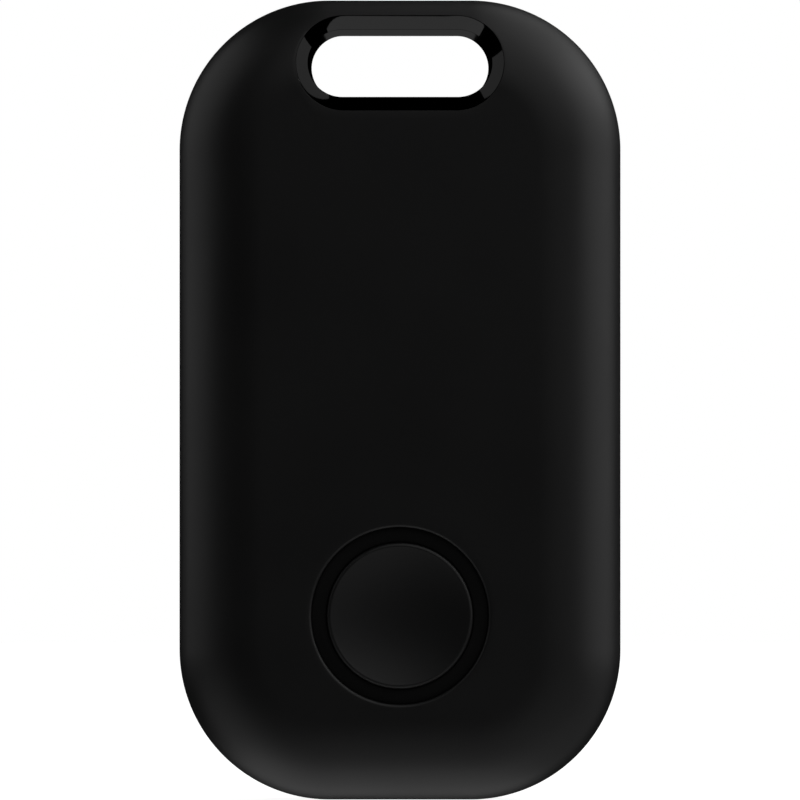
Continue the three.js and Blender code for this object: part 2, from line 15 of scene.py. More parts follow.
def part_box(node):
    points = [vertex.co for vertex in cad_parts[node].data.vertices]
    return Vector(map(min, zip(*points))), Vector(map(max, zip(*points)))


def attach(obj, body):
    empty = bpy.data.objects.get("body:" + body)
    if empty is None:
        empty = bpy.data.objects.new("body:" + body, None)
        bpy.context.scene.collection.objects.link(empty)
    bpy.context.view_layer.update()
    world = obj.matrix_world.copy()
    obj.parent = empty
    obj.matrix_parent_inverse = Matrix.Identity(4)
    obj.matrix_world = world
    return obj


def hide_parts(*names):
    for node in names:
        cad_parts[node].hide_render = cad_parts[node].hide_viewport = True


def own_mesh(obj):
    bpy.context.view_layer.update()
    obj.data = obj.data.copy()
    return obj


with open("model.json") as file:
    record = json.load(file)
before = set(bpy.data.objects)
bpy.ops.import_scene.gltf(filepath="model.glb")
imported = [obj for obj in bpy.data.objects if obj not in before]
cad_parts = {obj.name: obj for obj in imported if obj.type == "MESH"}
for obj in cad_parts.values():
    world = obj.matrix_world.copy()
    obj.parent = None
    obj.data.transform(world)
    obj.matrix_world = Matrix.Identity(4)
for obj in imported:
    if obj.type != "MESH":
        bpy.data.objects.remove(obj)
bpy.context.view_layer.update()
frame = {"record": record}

bl_info = {
    "name": "Tracker Tag",
    "version": (1, 0, 0),
    "blender": (4, 5, 0),
    "location": "View3D > Sidebar > Tracker Tag",
    "description": "Builds a wireless tracker tag and its studio around a fixed frame",
    "category": "Add Mesh",
}

MM = 0.001


# ---------------------------------------------------------------- places taken from the frame

def span(node, axis):
    """Lowest and highest value of a node along x, y or z of the tag's own frame, in millimetres."""
    low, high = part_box(node)
    if axis == "x":
        return low.x / MM, high.x / MM
    if axis == "y":
        return low.z / MM, high.z / MM
    return -high.y / MM, -low.y / MM


def middle(node, axis):
    return sum(span(node, axis)) / 2


def width_of(node, axis):
    low, high = span(node, axis)
    return high - low


CORNER_R = 9.75
WIDTH = width_of("front_shell", "x")
HEIGHT = width_of("front_shell", "y")
CENTRE_Y = middle("front_shell", "y")
BOTTOM_Y, TOP_Y = span("front_shell", "y")
SHELL_RIM_Z, FRONT_Z = span("front_shell", "z")
REAR_Z = span("rear_cover", "z")[0]
COVER_RIM_Z = SHELL_RIM_Z - 0.1
LIP_TOP_Z = span("rear_cover", "z")[1]
LINER_R = width_of("slot_liner", "y") / 2
LINER_STRAIGHT = width_of("slot_liner", "x") - 2 * LINER_R
BUTTON_Y = middle("button_cap", "y")
BUTTON_R = width_of("button_cap", "x") / 2
BUTTON_UNDER_Z, BUTTON_RIM_Z = span("button_cap", "z")
CELL_Y = middle("cell_can", "y")
CELL_R = width_of("cell_can", "x") / 2
BOARD_REAR_Z, BOARD_FRONT_Z = span("pcb", "z")
FRONT_WALL, REAR_WALL, SIDE_WALL, TUNNEL_WALL = 1.1, 1.0, 1.2, 0.85
FRONT_INNER_Z = FRONT_Z - FRONT_WALL
REAR_INNER_Z = REAR_Z + REAR_WALL
FIT = 0.05
BORE_R = LINER_R + FIT
TUNNEL_R = BORE_R + TUNNEL_WALL
TOP_WALL = TOP_Y - LINER_R
OPENING_R = 5.7
SEAM_ROUND = 0.12
SPLIT_Y = (CELL_Y + BUTTON_Y) / 2 + 6
BODY_OF = {node: body for body, nodes in frame["record"]["behaviour"]["bodies"].items() for node in nodes}


# ---------------------------------------------------------------- arrays to meshes

def to_world(points):
    """Points (x, y, z) of the tag's frame in millimetres become (x, -z, y) in metres."""
    p = np.asarray(points, float)
    return np.stack([p[..., 0], -p[..., 2], p[..., 1]], axis=-1) * MM


def grid_faces(rows, columns, wrap_rows, wrap_columns):
    """Quads of a grid of points stored row by row, closed on itself either way if asked."""
    r = np.arange(rows if wrap_rows else rows - 1)[:, None]
    c = np.arange(columns if wrap_columns else columns - 1)[None, :]
    r2, c2 = (r + 1) % rows, (c + 1) % columns
    corners = [r * columns + c, r * columns + c2, r2 * columns + c2, r2 * columns + c]
    return np.stack(np.broadcast_arrays(*corners), axis=-1).reshape(-1, 4)


class Skin:
    """Grids of points collected into one mesh of closed shells, each grid with its own finish number."""

    def __init__(self):
        self.points, self.faces, self.finishes, self.count = [], [], [], 0

    def grid(self, points, wrap_rows=False, caps=False, finish=0):
        """Adds a grid shaped (rows, columns, 3), closed round its columns; caps close its end rows."""
        rows, columns = points.shape[:2]
        self.points.append(points.reshape(-1, 3))
        faces = (grid_faces(rows, columns, wrap_rows, True) + self.count).tolist()
        if caps:
            last = self.count + (rows - 1) * columns
            faces += [list(range(self.count, self.count + columns)), list(range(last, last + columns))]
        self.faces += faces
        self.finishes += [finish] * len(faces)
        self.count += rows * columns
        return self

    def make(self, name, smooth_angle=32.0):
        """Merges the seams, turns every face outwards and gives back an object at the origin."""
        mesh = bpy.data.meshes.new(name)
        mesh.from_pydata(to_world(np.concatenate(self.points)).tolist(), [], self.faces)
        mesh.polygons.foreach_set("material_index", self.finishes)
        work = bmesh.new()
        work.from_mesh(mesh)
        bmesh.ops.remove_doubles(work, verts=work.verts, dist=2e-7)
        bmesh.ops.dissolve_degenerate(work, edges=work.edges, dist=1e-8)
        bmesh.ops.recalc_face_normals(work, faces=work.faces)
        work.to_mesh(mesh)
        work.free()
        thing = bpy.data.objects.new(name, mesh)
        bpy.context.scene.collection.objects.link(thing)
        smooth(thing, smooth_angle)
        return thing


def smooth(thing, angle):
    """Smooth shading that breaks at edges sharper than the angle, in degrees."""
    mesh = thing.data
    mesh.polygons.foreach_set("use_smooth", np.ones(len(mesh.polygons), bool))
    mesh.set_sharp_from_angle(angle=math.radians(angle))
    mesh.update()


def combine(thing, tool, operation, angle=32.0):
    """Cuts the tool out of the thing, or joins it on, and removes the tool."""
    modifier = thing.modifiers.new("combine", "BOOLEAN")
    modifier.operation = operation
    modifier.solver = "MANIFOLD"
    modifier.object = tool
    graph = bpy.context.evaluated_depsgraph_get()
    made = bpy.data.meshes.new_from_object(thing.evaluated_get(graph))
    thing.modifiers.clear()
    old = thing.data
    thing.data = made
    made.name = thing.name
    bpy.data.meshes.remove(old)
    bpy.data.objects.remove(tool)
    smooth(thing, angle)
    return thing


def cut(thing, *tools):
    for tool in tools:
        combine(thing, tool, "DIFFERENCE")
    return thing


def join(thing, *tools):
    for tool in tools:
        combine(thing, tool, "UNION")
    return thing


# ---------------------------------------------------------------- curves and profiles

def arc(centre, radius, start, end, steps):
    """Points on a circle between two angles in degrees, both ends included."""
    turn = np.radians(np.linspace(start, end, steps))
    return np.stack([centre[0] + radius * np.cos(turn), centre[1] + radius * np.sin(turn)], axis=-1)


def rounded(corners, radii, steps=5, closed=True):
    """A polygon with each corner replaced by an arc that touches both of its sides."""
    pts = np.asarray(corners, float)
    radii = np.broadcast_to(radii, len(pts))
    out = []
    for i, p in enumerate(pts):
        if radii[i] <= 0 or (not closed and i in (0, len(pts) - 1)):
            out.append(p[None])
            continue
        a, b = pts[i - 1] - p, pts[(i + 1) % len(pts)] - p
        a, b = a / np.linalg.norm(a), b / np.linalg.norm(b)
        half = math.acos(np.clip(a @ b, -1, 1)) / 2
        middle_way = (a + b) / np.linalg.norm(a + b)
        centre = p + middle_way * radii[i] / math.sin(half)
        first, last = p + a * radii[i] / math.tan(half), p + b * radii[i] / math.tan(half)
        t = np.linspace(0, 1, steps)[:, None]
        way = (first - centre) * (1 - t) + (last - centre) * t
        out.append(centre + radii[i] * way / np.linalg.norm(way, axis=1, keepdims=True))
    return np.concatenate(out)


def frame_ring(x, y, width, height, corner, corner_steps=6, side_steps=1):
    """A rectangle about (x, y) whose corners are arcs, with a few points along each side."""
    across, up = width / 2 - corner, height / 2 - corner
    centres = [(across, up), (-across, up), (-across, -up), (across, -up)]
    arcs = [arc(c, corner, 90 * k, 90 * (k + 1), corner_steps) for k, c in enumerate(centres)]
    t = np.linspace(0, 1, side_steps + 2)[1:-1, None]
    sides = [arcs[k][-1] * (1 - t) + arcs[(k + 1) % 4][0] * t for k in range(4)]
    return np.concatenate([part for pair in zip(arcs, sides) for part in pair]) + [x, y]


def outline(inset, corner_steps=48, side_steps=8):
    """The tag's outline moved in by an inset."""
    return frame_ring(
        0, CENTRE_Y, WIDTH - 2 * inset, HEIGHT - 2 * inset, CORNER_R - inset, corner_steps, side_steps,
    )


def stadium(radius, straight=LINER_STRAIGHT, arc_steps=40, side_steps=12):
    """Two half circles of a radius about the ends of a straight centre line, joined by straights."""
    half = straight / 2
    across = np.linspace(half, -half, side_steps + 2)[1:-1, None]
    top = np.concatenate([across, np.full_like(across, radius)], axis=1)
    return np.concatenate([
        arc((half, 0), radius, -90, 90, arc_steps), top,
        arc((-half, 0), radius, 90, 270, arc_steps), -top,
    ])


def circle(radius, steps=96):
    turn = np.linspace(0, 2 * math.pi, steps, endpoint=False)
    return np.stack([radius * np.cos(turn), radius * np.sin(turn)], axis=-1)


def lifted(points, z):
    """Plan points with their heights: one for them all, or an array of them."""
    height = np.broadcast_to(np.asarray(z, float), points.shape[:-1])
    return np.concatenate([points, height[..., None]], axis=-1)


def carried(name, section, ring, smooth_angle=32.0):
    """A closed section of (offset, z) carried round the ring that ring(offset) gives."""
    rows = np.stack([lifted(ring(offset), z) for offset, z in section])
    return Skin().grid(rows, wrap_rows=True).make(name, smooth_angle)


def stacked(name, levels, ring, smooth_angle=32.0):
    """A solid through flat rings: (offset, z) for each level, with its two ends closed."""
    rows = np.stack([lifted(ring(offset), z) for offset, z in levels])
    return Skin().grid(rows, caps=True).make(name, smooth_angle)


def turned(name, profile, x=0.0, y=0.0, steps=128, smooth_angle=32.0):
    """A profile of (radius, z) turned about the z axis through (x, y). A profile that doesn't start on
    the axis closes on itself."""
    profile = np.asarray(profile, float)
    rows = lifted(profile[:, 0, None, None] * circle(1.0, steps) + [x, y], profile[:, 1, None])
    return Skin().grid(rows, wrap_rows=profile[0][0] > 1e-6).make(name, smooth_angle)


def slab(x, y, width, height, low, high, corner=0.05, edge=0.03):
    """Rows of a rounded block: rings of a rectangle that draw in along a quarter circle at each end."""
    turn = np.radians(np.linspace(0, 90, 4))
    drawn, rise = edge * (1 - np.sin(turn)), edge * (1 - np.cos(turn))
    levels = list(zip(drawn, low + rise)) + list(zip(drawn[::-1], high - rise[::-1]))
    return np.stack([
        lifted(frame_ring(x, y, width - 2 * d, height - 2 * d, max(corner - d, 0.01), 5), z)
        for d, z in levels
    ])


def block(name, *sizes, **edges):
    """A solid of one slab."""
    return Skin().grid(slab(*sizes, **edges), caps=True).make(name)


def asides(path):
    """Unit vectors at right angles to a path in a plane."""
    along = np.gradient(path, axis=0)
    along = along / np.linalg.norm(along, axis=1, keepdims=True)
    return np.stack([-along[:, 1], along[:, 0]], axis=1)


def ribbon(path, width, low, high):
    """Rows of a flat strip: an upright rectangle, between two heights, carried along a path in plan."""
    aside = asides(path) * width / 2
    sides = (path - aside, path - aside, path + aside, path + aside)
    return np.stack([lifted(side, z) for side, z in zip(sides, (low, high, high, low))], axis=1)


def bent_strip(name, route, thick, width, x, y=0.0, bend=0.18, edge=0.03):
    """A metal strip bent along a route of (y, z): a thin rounded section carried along it."""
    path = rounded(route, bend, steps=8, closed=False)
    half, deep = width / 2, thick / 2
    section = rounded([(-half, -deep), (half, -deep), (half, deep), (-half, deep)], edge, steps=4)
    side = path[:, None] + section[None, :, 1, None] * asides(path)[:, None]
    across = np.broadcast_to(section[None, :, 0, None], side.shape[:2] + (1,))
    rows = np.concatenate([across + x, side + [y, 0]], axis=-1)
    return Skin().grid(rows, caps=True).make(name, 40.0)


# ---------------------------------------------------------------- the case's surface

MIDDLE = np.array([0, CENTRE_Y])
CORNER_CENTRE = np.array([WIDTH / 2 - CORNER_R, HEIGHT / 2 - CORNER_R])
# Numbers of points along the sides of the upper and lower part, each corner, each way across, the
# rounding of a hole, the rays of the mating face and the rounding of the seam.
UPPER_STEPS, LOWER_STEPS, CORNER_STEPS, ACROSS_STEPS = 40, 48, 72, 24
HOLE_STEPS, FLOOR_STEPS, SEAM_STEPS = 7, 12, 6


def outward(points):
    """Unit vectors that point straight out of the outline at plan points on or near it."""
    local = points - MIDDLE
    away = local - np.clip(local, -CORNER_CENTRE, CORNER_CENTRE)
    return away / np.maximum(np.linalg.norm(away, axis=-1, keepdims=True), 1e-9)


def inset_of(points):
    """Distance from plan points in to the outline."""
    q = np.abs(points - MIDDLE) - CORNER_CENTRE
    outside = np.linalg.norm(np.maximum(q, 0), axis=-1)
    return CORNER_R - outside - np.minimum(q.max(axis=-1), 0)


def rolled(points, case, rim_z, face_z, roll):
    """Height of the case over plan points: flat inside the rolled edge, and on it
    z = rim + rise * (1 - u^p)^(1/p), where u falls from 1 at the outline to 0 where the edge ends."""
    u = np.clip(1 - inset_of(points) / roll, 0, 1)
    return rim_z + (face_z - rim_z) * (1 - u ** case.roll_power) ** (1 / case.roll_power)


def region_edge(upper, roll):
    """The loop round the upper or lower part of the plan, and which of its points are on the outline.
    It runs along the outline and back across the split line, whose points crowd into the rolled edge."""
    radius, (x, y) = CORNER_R, CORNER_CENTRE
    split = SPLIT_Y - CENTRE_Y
    count, sign = (UPPER_STEPS, 1) if upper else (LOWER_STEPS, -1)
    side = np.linspace(sign * split, y, count)
    right = sign * np.stack([np.full(count, WIDTH / 2), side], axis=1)[:-1]
    start = 0 if upper else 180
    corner_1 = arc((sign * x, sign * y), radius, start, start + 90, CORNER_STEPS)
    corner_2 = arc((-sign * x, sign * y), radius, start + 90, start + 180, CORNER_STEPS)
    top = np.linspace(sign * x, -sign * x, ACROSS_STEPS)
    straight = np.stack([top, np.full(ACROSS_STEPS, sign * HEIGHT / 2)], axis=1)[1:-1]
    left = (right * [-1, 1])[::-1]
    turn = np.linspace(0, math.pi / 2, ACROSS_STEPS)
    edge = WIDTH / 2 - roll * (1 - np.cos(turn))
    inner = np.linspace(edge[-1], -edge[-1], ACROSS_STEPS)[1:-1]
    across = np.concatenate([edge, inner, -edge[::-1]])[1:-1]
    across = -across if upper else across
    back = np.stack([across, np.full(len(across), split)], axis=1)
    loop = np.concatenate([right, corner_1, straight, corner_2, left])
    on_outline = np.concatenate([np.ones(len(loop), bool), np.zeros(len(back), bool)])
    return np.concatenate([loop, back]) + MIDDLE, on_outline


def case_half(name, case, roll, rim_z, face_z, holes):
    """One half of the case as a closed solid with its holes through it, before it is hollowed.

    The plan is split in two across the tag. In each part, straight rays run from a hole, each at right
    angles to its edge, to the part's edge; a ray's points crowd towards its outer end as a square law,
    so the rolled edge has even steps. Each hole is (half_straight, centre_y, radius, round)."""
    up = 1 if face_z > rim_z else -1
    start_z = rim_z + up * SEAM_ROUND
    share = 1 - (1 - np.linspace(0, 1, case.rows)) ** 2
    skin, rims = Skin(), []
    for upper, (half_straight, hole_y, hole_r, edge_round) in zip((True, False), holes):
        edge, on_outline = region_edge(upper, roll)
        local = edge - [0, hole_y]
        core = np.stack([np.clip(local[:, 0], -half_straight, half_straight), 0 * local[:, 1]], axis=1)
        way = local - core
        way = way / np.linalg.norm(way, axis=1, keepdims=True)
        core = core + [0, hole_y]
        near = core + way * (hole_r + edge_round)
        plan = near[None] + share[:, None, None] * (edge - near)[None]
        top = rolled(plan, case, start_z, face_z, roll)
        skin.grid(lifted(plan, top))
        if hole_r > 0:
            turn = np.radians(np.linspace(0, 90, HOLE_STEPS))[:, None]
            reach = hole_r + edge_round * (1 - np.sin(turn))
            drop = top[0][None] - up * edge_round * (1 - np.cos(turn))
            wall = core[None] + way[None] * reach[..., None]
            foot = lifted(wall[-1], rim_z)
            skin.grid(np.concatenate([lifted(wall, drop), foot[None]]))
        shrink = (WIDTH / 2 - SEAM_ROUND) / (WIDTH / 2)
        floor_edge = np.where(
            on_outline[:, None], edge - outward(edge) * SEAM_ROUND, edge * [shrink, 1],
        )
        floor_near = core + way * hole_r
        steps = np.linspace(0, 1, FLOOR_STEPS)[:, None, None]
        floor = floor_near[None] + steps * (floor_edge - floor_near)[None]
        skin.grid(lifted(floor, rim_z))
        rims.append(edge[on_outline])
    rim = np.concatenate(rims)
    turn = np.radians(np.linspace(0, 90, SEAM_STEPS))[:, None]
    inward = SEAM_ROUND * (1 - np.cos(turn))
    ring = rim[None] - outward(rim)[None] * inward[..., None]
    skin.grid(lifted(ring, start_z - up * SEAM_ROUND * np.sin(turn)))
    return skin.make(name)


# ---------------------------------------------------------------- settings

def length(name, description, default):
    return bpy.props.FloatProperty(
        name=name, description=description, default=default * MM, min=0.0, unit="LENGTH",
        subtype="DISTANCE", precision=5,
    )


def factor(name, description, default):
    return bpy.props.FloatProperty(
        name=name, description=description, default=default, min=0.0, max=1.0, subtype="FACTOR",
    )


def colour(name, description, default):
    return bpy.props.FloatVectorProperty(
        name=name, description=description, default=default, size=3, min=0.0, max=1.0, subtype="COLOR",
    )


class TagCaseSettings(bpy.types.PropertyGroup):
    """Sizes and finish of the two case halves."""

    front_roll: length("Front roll", "How far the rounded front edge reaches in", 5.5)
    rear_roll: length("Rear roll", "How far the rounded rear edge reaches in", 3.5)
    roll_power: bpy.props.FloatProperty(
        name="Roll softness", description="Power of the edge's curve; 2 is a quarter ellipse",
        default=2.0, min=1.5, max=4.0,
    )
    rows: bpy.props.IntProperty(
        name="Rows", description="Points along each ray from a hole to the outline", default=56, min=12,
    )
    color: colour("Colour", "Colour of the moulded case", (0.0050, 0.0050, 0.0052))
    roughness: factor("Roughness", "Roughness of the satin case", 0.45)


class TagSlotSettings(bpy.types.PropertyGroup):
    """Sizes and finish of the polished liner in the key-ring slot."""

    wall: length("Wall", "Liner's thickness along the straights", 0.88)
    end_wall: length("End wall", "Liner's thickness at the slot's two ends", 0.75)
    depth: length("Chamfer depth", "Depth of the chamfers below the case's surface", 0.5)
    draft: length("Draft", "How much narrower the slot is on each side at the rear", 0.16)
    color: colour("Colour", "Colour of the polished liner", (0.0006, 0.0006, 0.0006))
    roughness: factor("Roughness", "Roughness of the polished liner", 0.05)


class TagButtonSettings(bpy.types.PropertyGroup):
    """Sizes and finish of the button and the ring round it."""

    dish_radius: length("Dish radius", "Radius of the hollow in the button's face", 4.42)
    dish_depth: length("Dish depth", "Depth of the hollow in the button's face", 0.7)
    rim_round: length("Rim rounding", "Rounding of the button's rim", 0.24)
    opening_round: length("Opening edge", "Rounding of the case's edge round the button", 0.22)
    roughness: factor("Roughness", "Roughness of the button", 0.45)
    ring_color: colour("Ring colour", "Colour of the elastomer ring", (0.0018, 0.0018, 0.0018))


class TagInsideSettings(bpy.types.PropertyGroup):
    """Colours of what is inside the case."""

    board_color: colour("Board", "Colour of the board's solder mask", (0.010, 0.075, 0.032))
    trace_color: colour("Traces", "Colour of copper under the solder mask", (0.030, 0.160, 0.065))
    metal_color: colour("Nickel", "Colour of nickel-plated steel", (0.55, 0.54, 0.51))
    spring_color: colour("Spring bronze", "Colour of gold-flashed springs", (0.60, 0.42, 0.17))


class TagStageSettings(bpy.types.PropertyGroup):
    """The camera and the lights."""

    camera_distance: length("Camera distance", "From the camera to the middle of the tag", 400.0)
    light_strength: bpy.props.FloatProperty(
        name="Light", description="Multiplies the brightness of every softbox", default=1.0, min=0.0,
    )


# ---------------------------------------------------------------- node groups that the materials share

# For each kind: the group's name, its fine and its slow size, each with a default, and the detail of the
# slow noise.
TEXTURES = {
    "moulded": ("Moulded surface", ("Grain", 9000.0), ("Drift", 150.0), 3.0),
    "brushed": ("Brushed metal", ("Lines", 6000.0), ("Tarnish", 300.0), 4.0),
    "cells": ("Fine cells", ("Grain", 4000.0), ("Drift", 900.0), 2.0),
}
BRUSH_STRETCH = (0.03, 1.0, 1.0)


def noise(nodes, links, vector, scale, detail=2.0):
    """A noise texture on a vector, at a scale that comes from a socket."""
    texture = nodes.new("ShaderNodeTexNoise")
    texture.inputs["Detail"].default_value = detail
    links.new(vector, texture.inputs["Vector"])
    links.new(scale, texture.inputs["Scale"])
    return texture.outputs["Fac"]


def texture_group(kind):
    """The node group of a kind of surface, made when first asked for. It gives a fine height and a slow
    drift of gloss. The height is noise on a moulded surface, noise drawn out along x into lines on
    brushed metal, and for cells the distance to the nearest point of a scattered pattern."""
    name, fine, slow, slow_detail = TEXTURES[kind]
    found = bpy.data.node_groups.get(name)
    if found:
        return found
    group = bpy.data.node_groups.new(name, "ShaderNodeTree")
    for label, default in (fine, slow):
        made = group.interface.new_socket(name=label, in_out="INPUT", socket_type="NodeSocketFloat")
        made.default_value = default
    for label in ("Height", "Gloss drift"):
        group.interface.new_socket(name=label, in_out="OUTPUT", socket_type="NodeSocketFloat")
    nodes, links = group.nodes, group.links
    source, sink = nodes.new("NodeGroupInput"), nodes.new("NodeGroupOutput")
    place = nodes.new("ShaderNodeTexCoord").outputs["Object"]
    size = source.outputs[fine[0]]
    if kind == "cells":
        cells = nodes.new("ShaderNodeTexVoronoi")
        links.new(place, cells.inputs["Vector"])
        links.new(size, cells.inputs["Scale"])
        height = cells.outputs["Distance"]
    elif kind == "brushed":
        stretch = nodes.new("ShaderNodeMapping")
        stretch.inputs["Scale"].default_value = BRUSH_STRETCH
        links.new(place, stretch.inputs["Vector"])
        height = noise(nodes, links, stretch.outputs["Vector"], size)
    else:
        height = noise(nodes, links, place, size)
    links.new(height, sink.inputs["Height"])
    drift = noise(nodes, links, place, source.outputs[slow[0]], slow_detail)
    links.new(drift, sink.inputs["Gloss drift"])
    return group


def surface(name, kind, color, roughness, drift=0.04, bump=0.05, metallic=0.0, tint=0.12, sizes=None,
            other=None, specular=0.5):
    """A finish: its roughness and colour drift over the surface, and its grain is a fine bump.
    `tint` is how much darker the colour gets, and `other` replaces that darker colour."""
    found = bpy.data.materials.get(name)
    if found:
        return found
    made = bpy.data.materials.new(name)
    made.use_nodes = True
    nodes, links = made.node_tree.nodes, made.node_tree.links
    shader = nodes["Principled BSDF"]
    shader.inputs["Metallic"].default_value = metallic
    shader.inputs["Specular IOR Level"].default_value = specular
    texture = nodes.new("ShaderNodeGroup")
    texture.node_tree = texture_group(kind)
    for socket, value in zip(texture.inputs, sizes or []):
        socket.default_value = value
    spread = nodes.new("ShaderNodeMapRange")
    for label, value in (
        ("From Min", 0.3), ("From Max", 0.7),
        ("To Min", max(roughness - drift, 0.0)), ("To Max", roughness + drift),
    ):
        spread.inputs[label].default_value = value
    links.new(texture.outputs["Gloss drift"], spread.inputs["Value"])
    links.new(spread.outputs["Result"], shader.inputs["Roughness"])
    mix = nodes.new("ShaderNodeMix")
    mix.data_type = "RGBA"
    mix.inputs["A"].default_value = (*color, 1)
    mix.inputs["B"].default_value = (*(other or [c * (1 - tint) for c in color]), 1)
    links.new(texture.outputs["Gloss drift"], mix.inputs["Factor"])
    links.new(mix.outputs["Result"], shader.inputs["Base Color"])
    if bump:
        relief = nodes.new("ShaderNodeBump")
        relief.inputs["Strength"].default_value = bump
        relief.inputs["Distance"].default_value = 0.00002
        links.new(texture.outputs["Height"], relief.inputs["Height"])
        links.new(relief.outputs["Normal"], shader.inputs["Normal"])
    return made


def finish(slot):
    """The material of each of the record's finish slots."""
    scene = bpy.context.scene
    case, liner, button, inside = scene.tag_case, scene.tag_slot, scene.tag_button, scene.tag_inside
    metal = dict(kind="brushed", metallic=1.0, bump=0.12)
    choices = {
        "case": dict(kind="moulded", color=case.color, roughness=case.roughness, drift=0.02),
        "gloss_liner": dict(
            kind="moulded", color=liner.color, roughness=liner.roughness, drift=0.01, bump=0.0),
        "button": dict(kind="moulded", color=case.color, roughness=button.roughness, drift=0.02),
        "elastomer": dict(
            kind="moulded", color=button.ring_color, roughness=0.62, bump=0.1, specular=0.25),
        "dark_resin": dict(kind="moulded", color=(0.018, 0.018, 0.019), roughness=0.5, bump=0.15),
        "bright_metal": dict(color=inside.metal_color, roughness=0.28, **metal),
        "circuit_board": dict(
            kind="cells", color=inside.board_color, roughness=0.38, other=inside.trace_color, bump=0.04),
        "trace": dict(kind="cells", color=inside.trace_color, roughness=0.36, bump=0.04),
        "screw_steel": dict(color=(0.42, 0.42, 0.43), roughness=0.32, **metal),
        "white_ceramic": dict(kind="cells", color=(0.74, 0.71, 0.63), roughness=0.55, bump=0.2),
        "tan_ceramic": dict(kind="cells", color=(0.33, 0.22, 0.12), roughness=0.5, bump=0.2),
        "spring_bronze": dict(color=inside.spring_color, roughness=0.26, **metal),
        "cell_steel": dict(color=inside.metal_color, roughness=0.2, **metal),
        "cell_fill": dict(kind="cells", color=(0.02, 0.02, 0.02), roughness=0.85, bump=0.5),
        "foam": dict(
            kind="cells", color=(0.03, 0.03, 0.032), roughness=0.95, bump=0.9, sizes=(6000, 700)),
        "buzzer_brass": dict(color=(0.62, 0.43, 0.14), roughness=0.3, **metal),
        "port_mesh": dict(kind="cells", color=(0.3, 0.3, 0.3), roughness=0.4, metallic=1.0, bump=1.0),
    }
    return surface(slot + "_finish", **choices[slot])


def dress(thing, slot, *nodes, extra=()):
    """Finishes a new piece, and lets it ride with and stand for its nodes. Each face keeps the number
    of its finish, which clearing the list would lose."""
    mesh = thing.data
    numbers = np.zeros(len(mesh.polygons), np.int32)
    mesh.polygons.foreach_get("material_index", numbers)
    mesh.materials.clear()
    for name in (slot, *extra):
        mesh.materials.append(finish(name))
    mesh.polygons.foreach_set("material_index", numbers if extra else numbers * 0)
    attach(thing, BODY_OF[nodes[0]])
    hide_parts(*nodes)
    return thing


# ---------------------------------------------------------------- the case

SCREW_PLACES = [tuple(middle("board_screw_%d" % k, axis) for axis in "xy") for k in (1, 2, 3, 4)]
CLOSE = 0.02      # the gap seen round the liner and the button's ring
SLOT_EDGE = 0.015     # the rounding of the edges along the slot
GASKET_INSET, GASKET_WIDTH, GASKET_HEIGHT, GASKET_PROUD = 0.35, 0.4, 0.42, 0.07
LIP_INSET, LIP_THICK, LIP_ROOT = 1.6, 0.65, 0.75
GASKET_SLOT_R = BORE_R + TOP_WALL - FIT - GASKET_INSET
BOSS_R, PILOT_R, PILOT_DEPTH = 1.2, 0.45, 1.4
SEAT_IN, SEAT_OUT, SEAT_TOP_Z = 6.0, 7.3, REAR_INNER_Z + 0.4
HOLE_R, HOLE_PITCH = 0.35, 1.3
BURIED = 0.3      # how far a boss or a seat reaches into the wall it stands on


def case_space(roll, rim_z, inner_z):
    """The space inside a case half: its rolled form offset by the side wall, less the slot's own wall."""
    up = 1 if inner_z > rim_z else -1
    levels = [(SIDE_WALL, rim_z - up)] + [
        (roll - (roll - SIDE_WALL) * math.cos(t), rim_z + (inner_z - rim_z) * math.sin(t))
        for t in np.radians(np.linspace(0, 90, 14))
    ]
    space = stacked("space", levels, lambda inset: outline(inset, 24, 2))
    reach = sorted([rim_z - 2 * up, inner_z + 2 * up])
    return cut(space, stacked("tunnel", [(TUNNEL_R, z) for z in reach], stadium))


def slot_tool(radius, low, high):
    return stacked("slot_tool", [(radius, low), (radius, high)], stadium)


def tube_profile(inner, outer, low, high):
    """The half section of a plain tube, or of a rod when its inner radius is 0."""
    return [(inner, low), (outer, low), (outer, high), (inner, high)]


def rod(radius, x, y, low, high, steps=48):
    """A plain round tool or boss."""
    return turned("rod", tube_profile(0, radius, low, high), x, y, steps)


class TAG_OT_front_shell(bpy.types.Operator):
    """Builds the front shell with its two openings and its screw bosses"""

    bl_idname = "tracker_tag.front_shell"
    bl_label = "Front Shell"

    def execute(self, context):
        case, button = context.scene.tag_case, context.scene.tag_button
        holes = [
            (LINER_STRAIGHT / 2, 0.0, LINER_R + CLOSE, SLOT_EDGE),
            (0.0, BUTTON_Y, OPENING_R, button.opening_round / MM),
        ]
        roll = case.front_roll / MM
        shell = case_half("case_front", case, roll, SHELL_RIM_Z, FRONT_Z, holes)
        cut(shell, case_space(roll, SHELL_RIM_Z, FRONT_INNER_Z))
        foot = BOARD_FRONT_Z + FIT
        for x, y in SCREW_PLACES:
            join(shell, rod(BOSS_R, x, y, foot, FRONT_INNER_Z + BURIED))
            cut(shell, rod(PILOT_R, x, y, foot - 0.1, foot + PILOT_DEPTH, 32))
        dress(shell, "case", "front_shell")
        return {"FINISHED"}


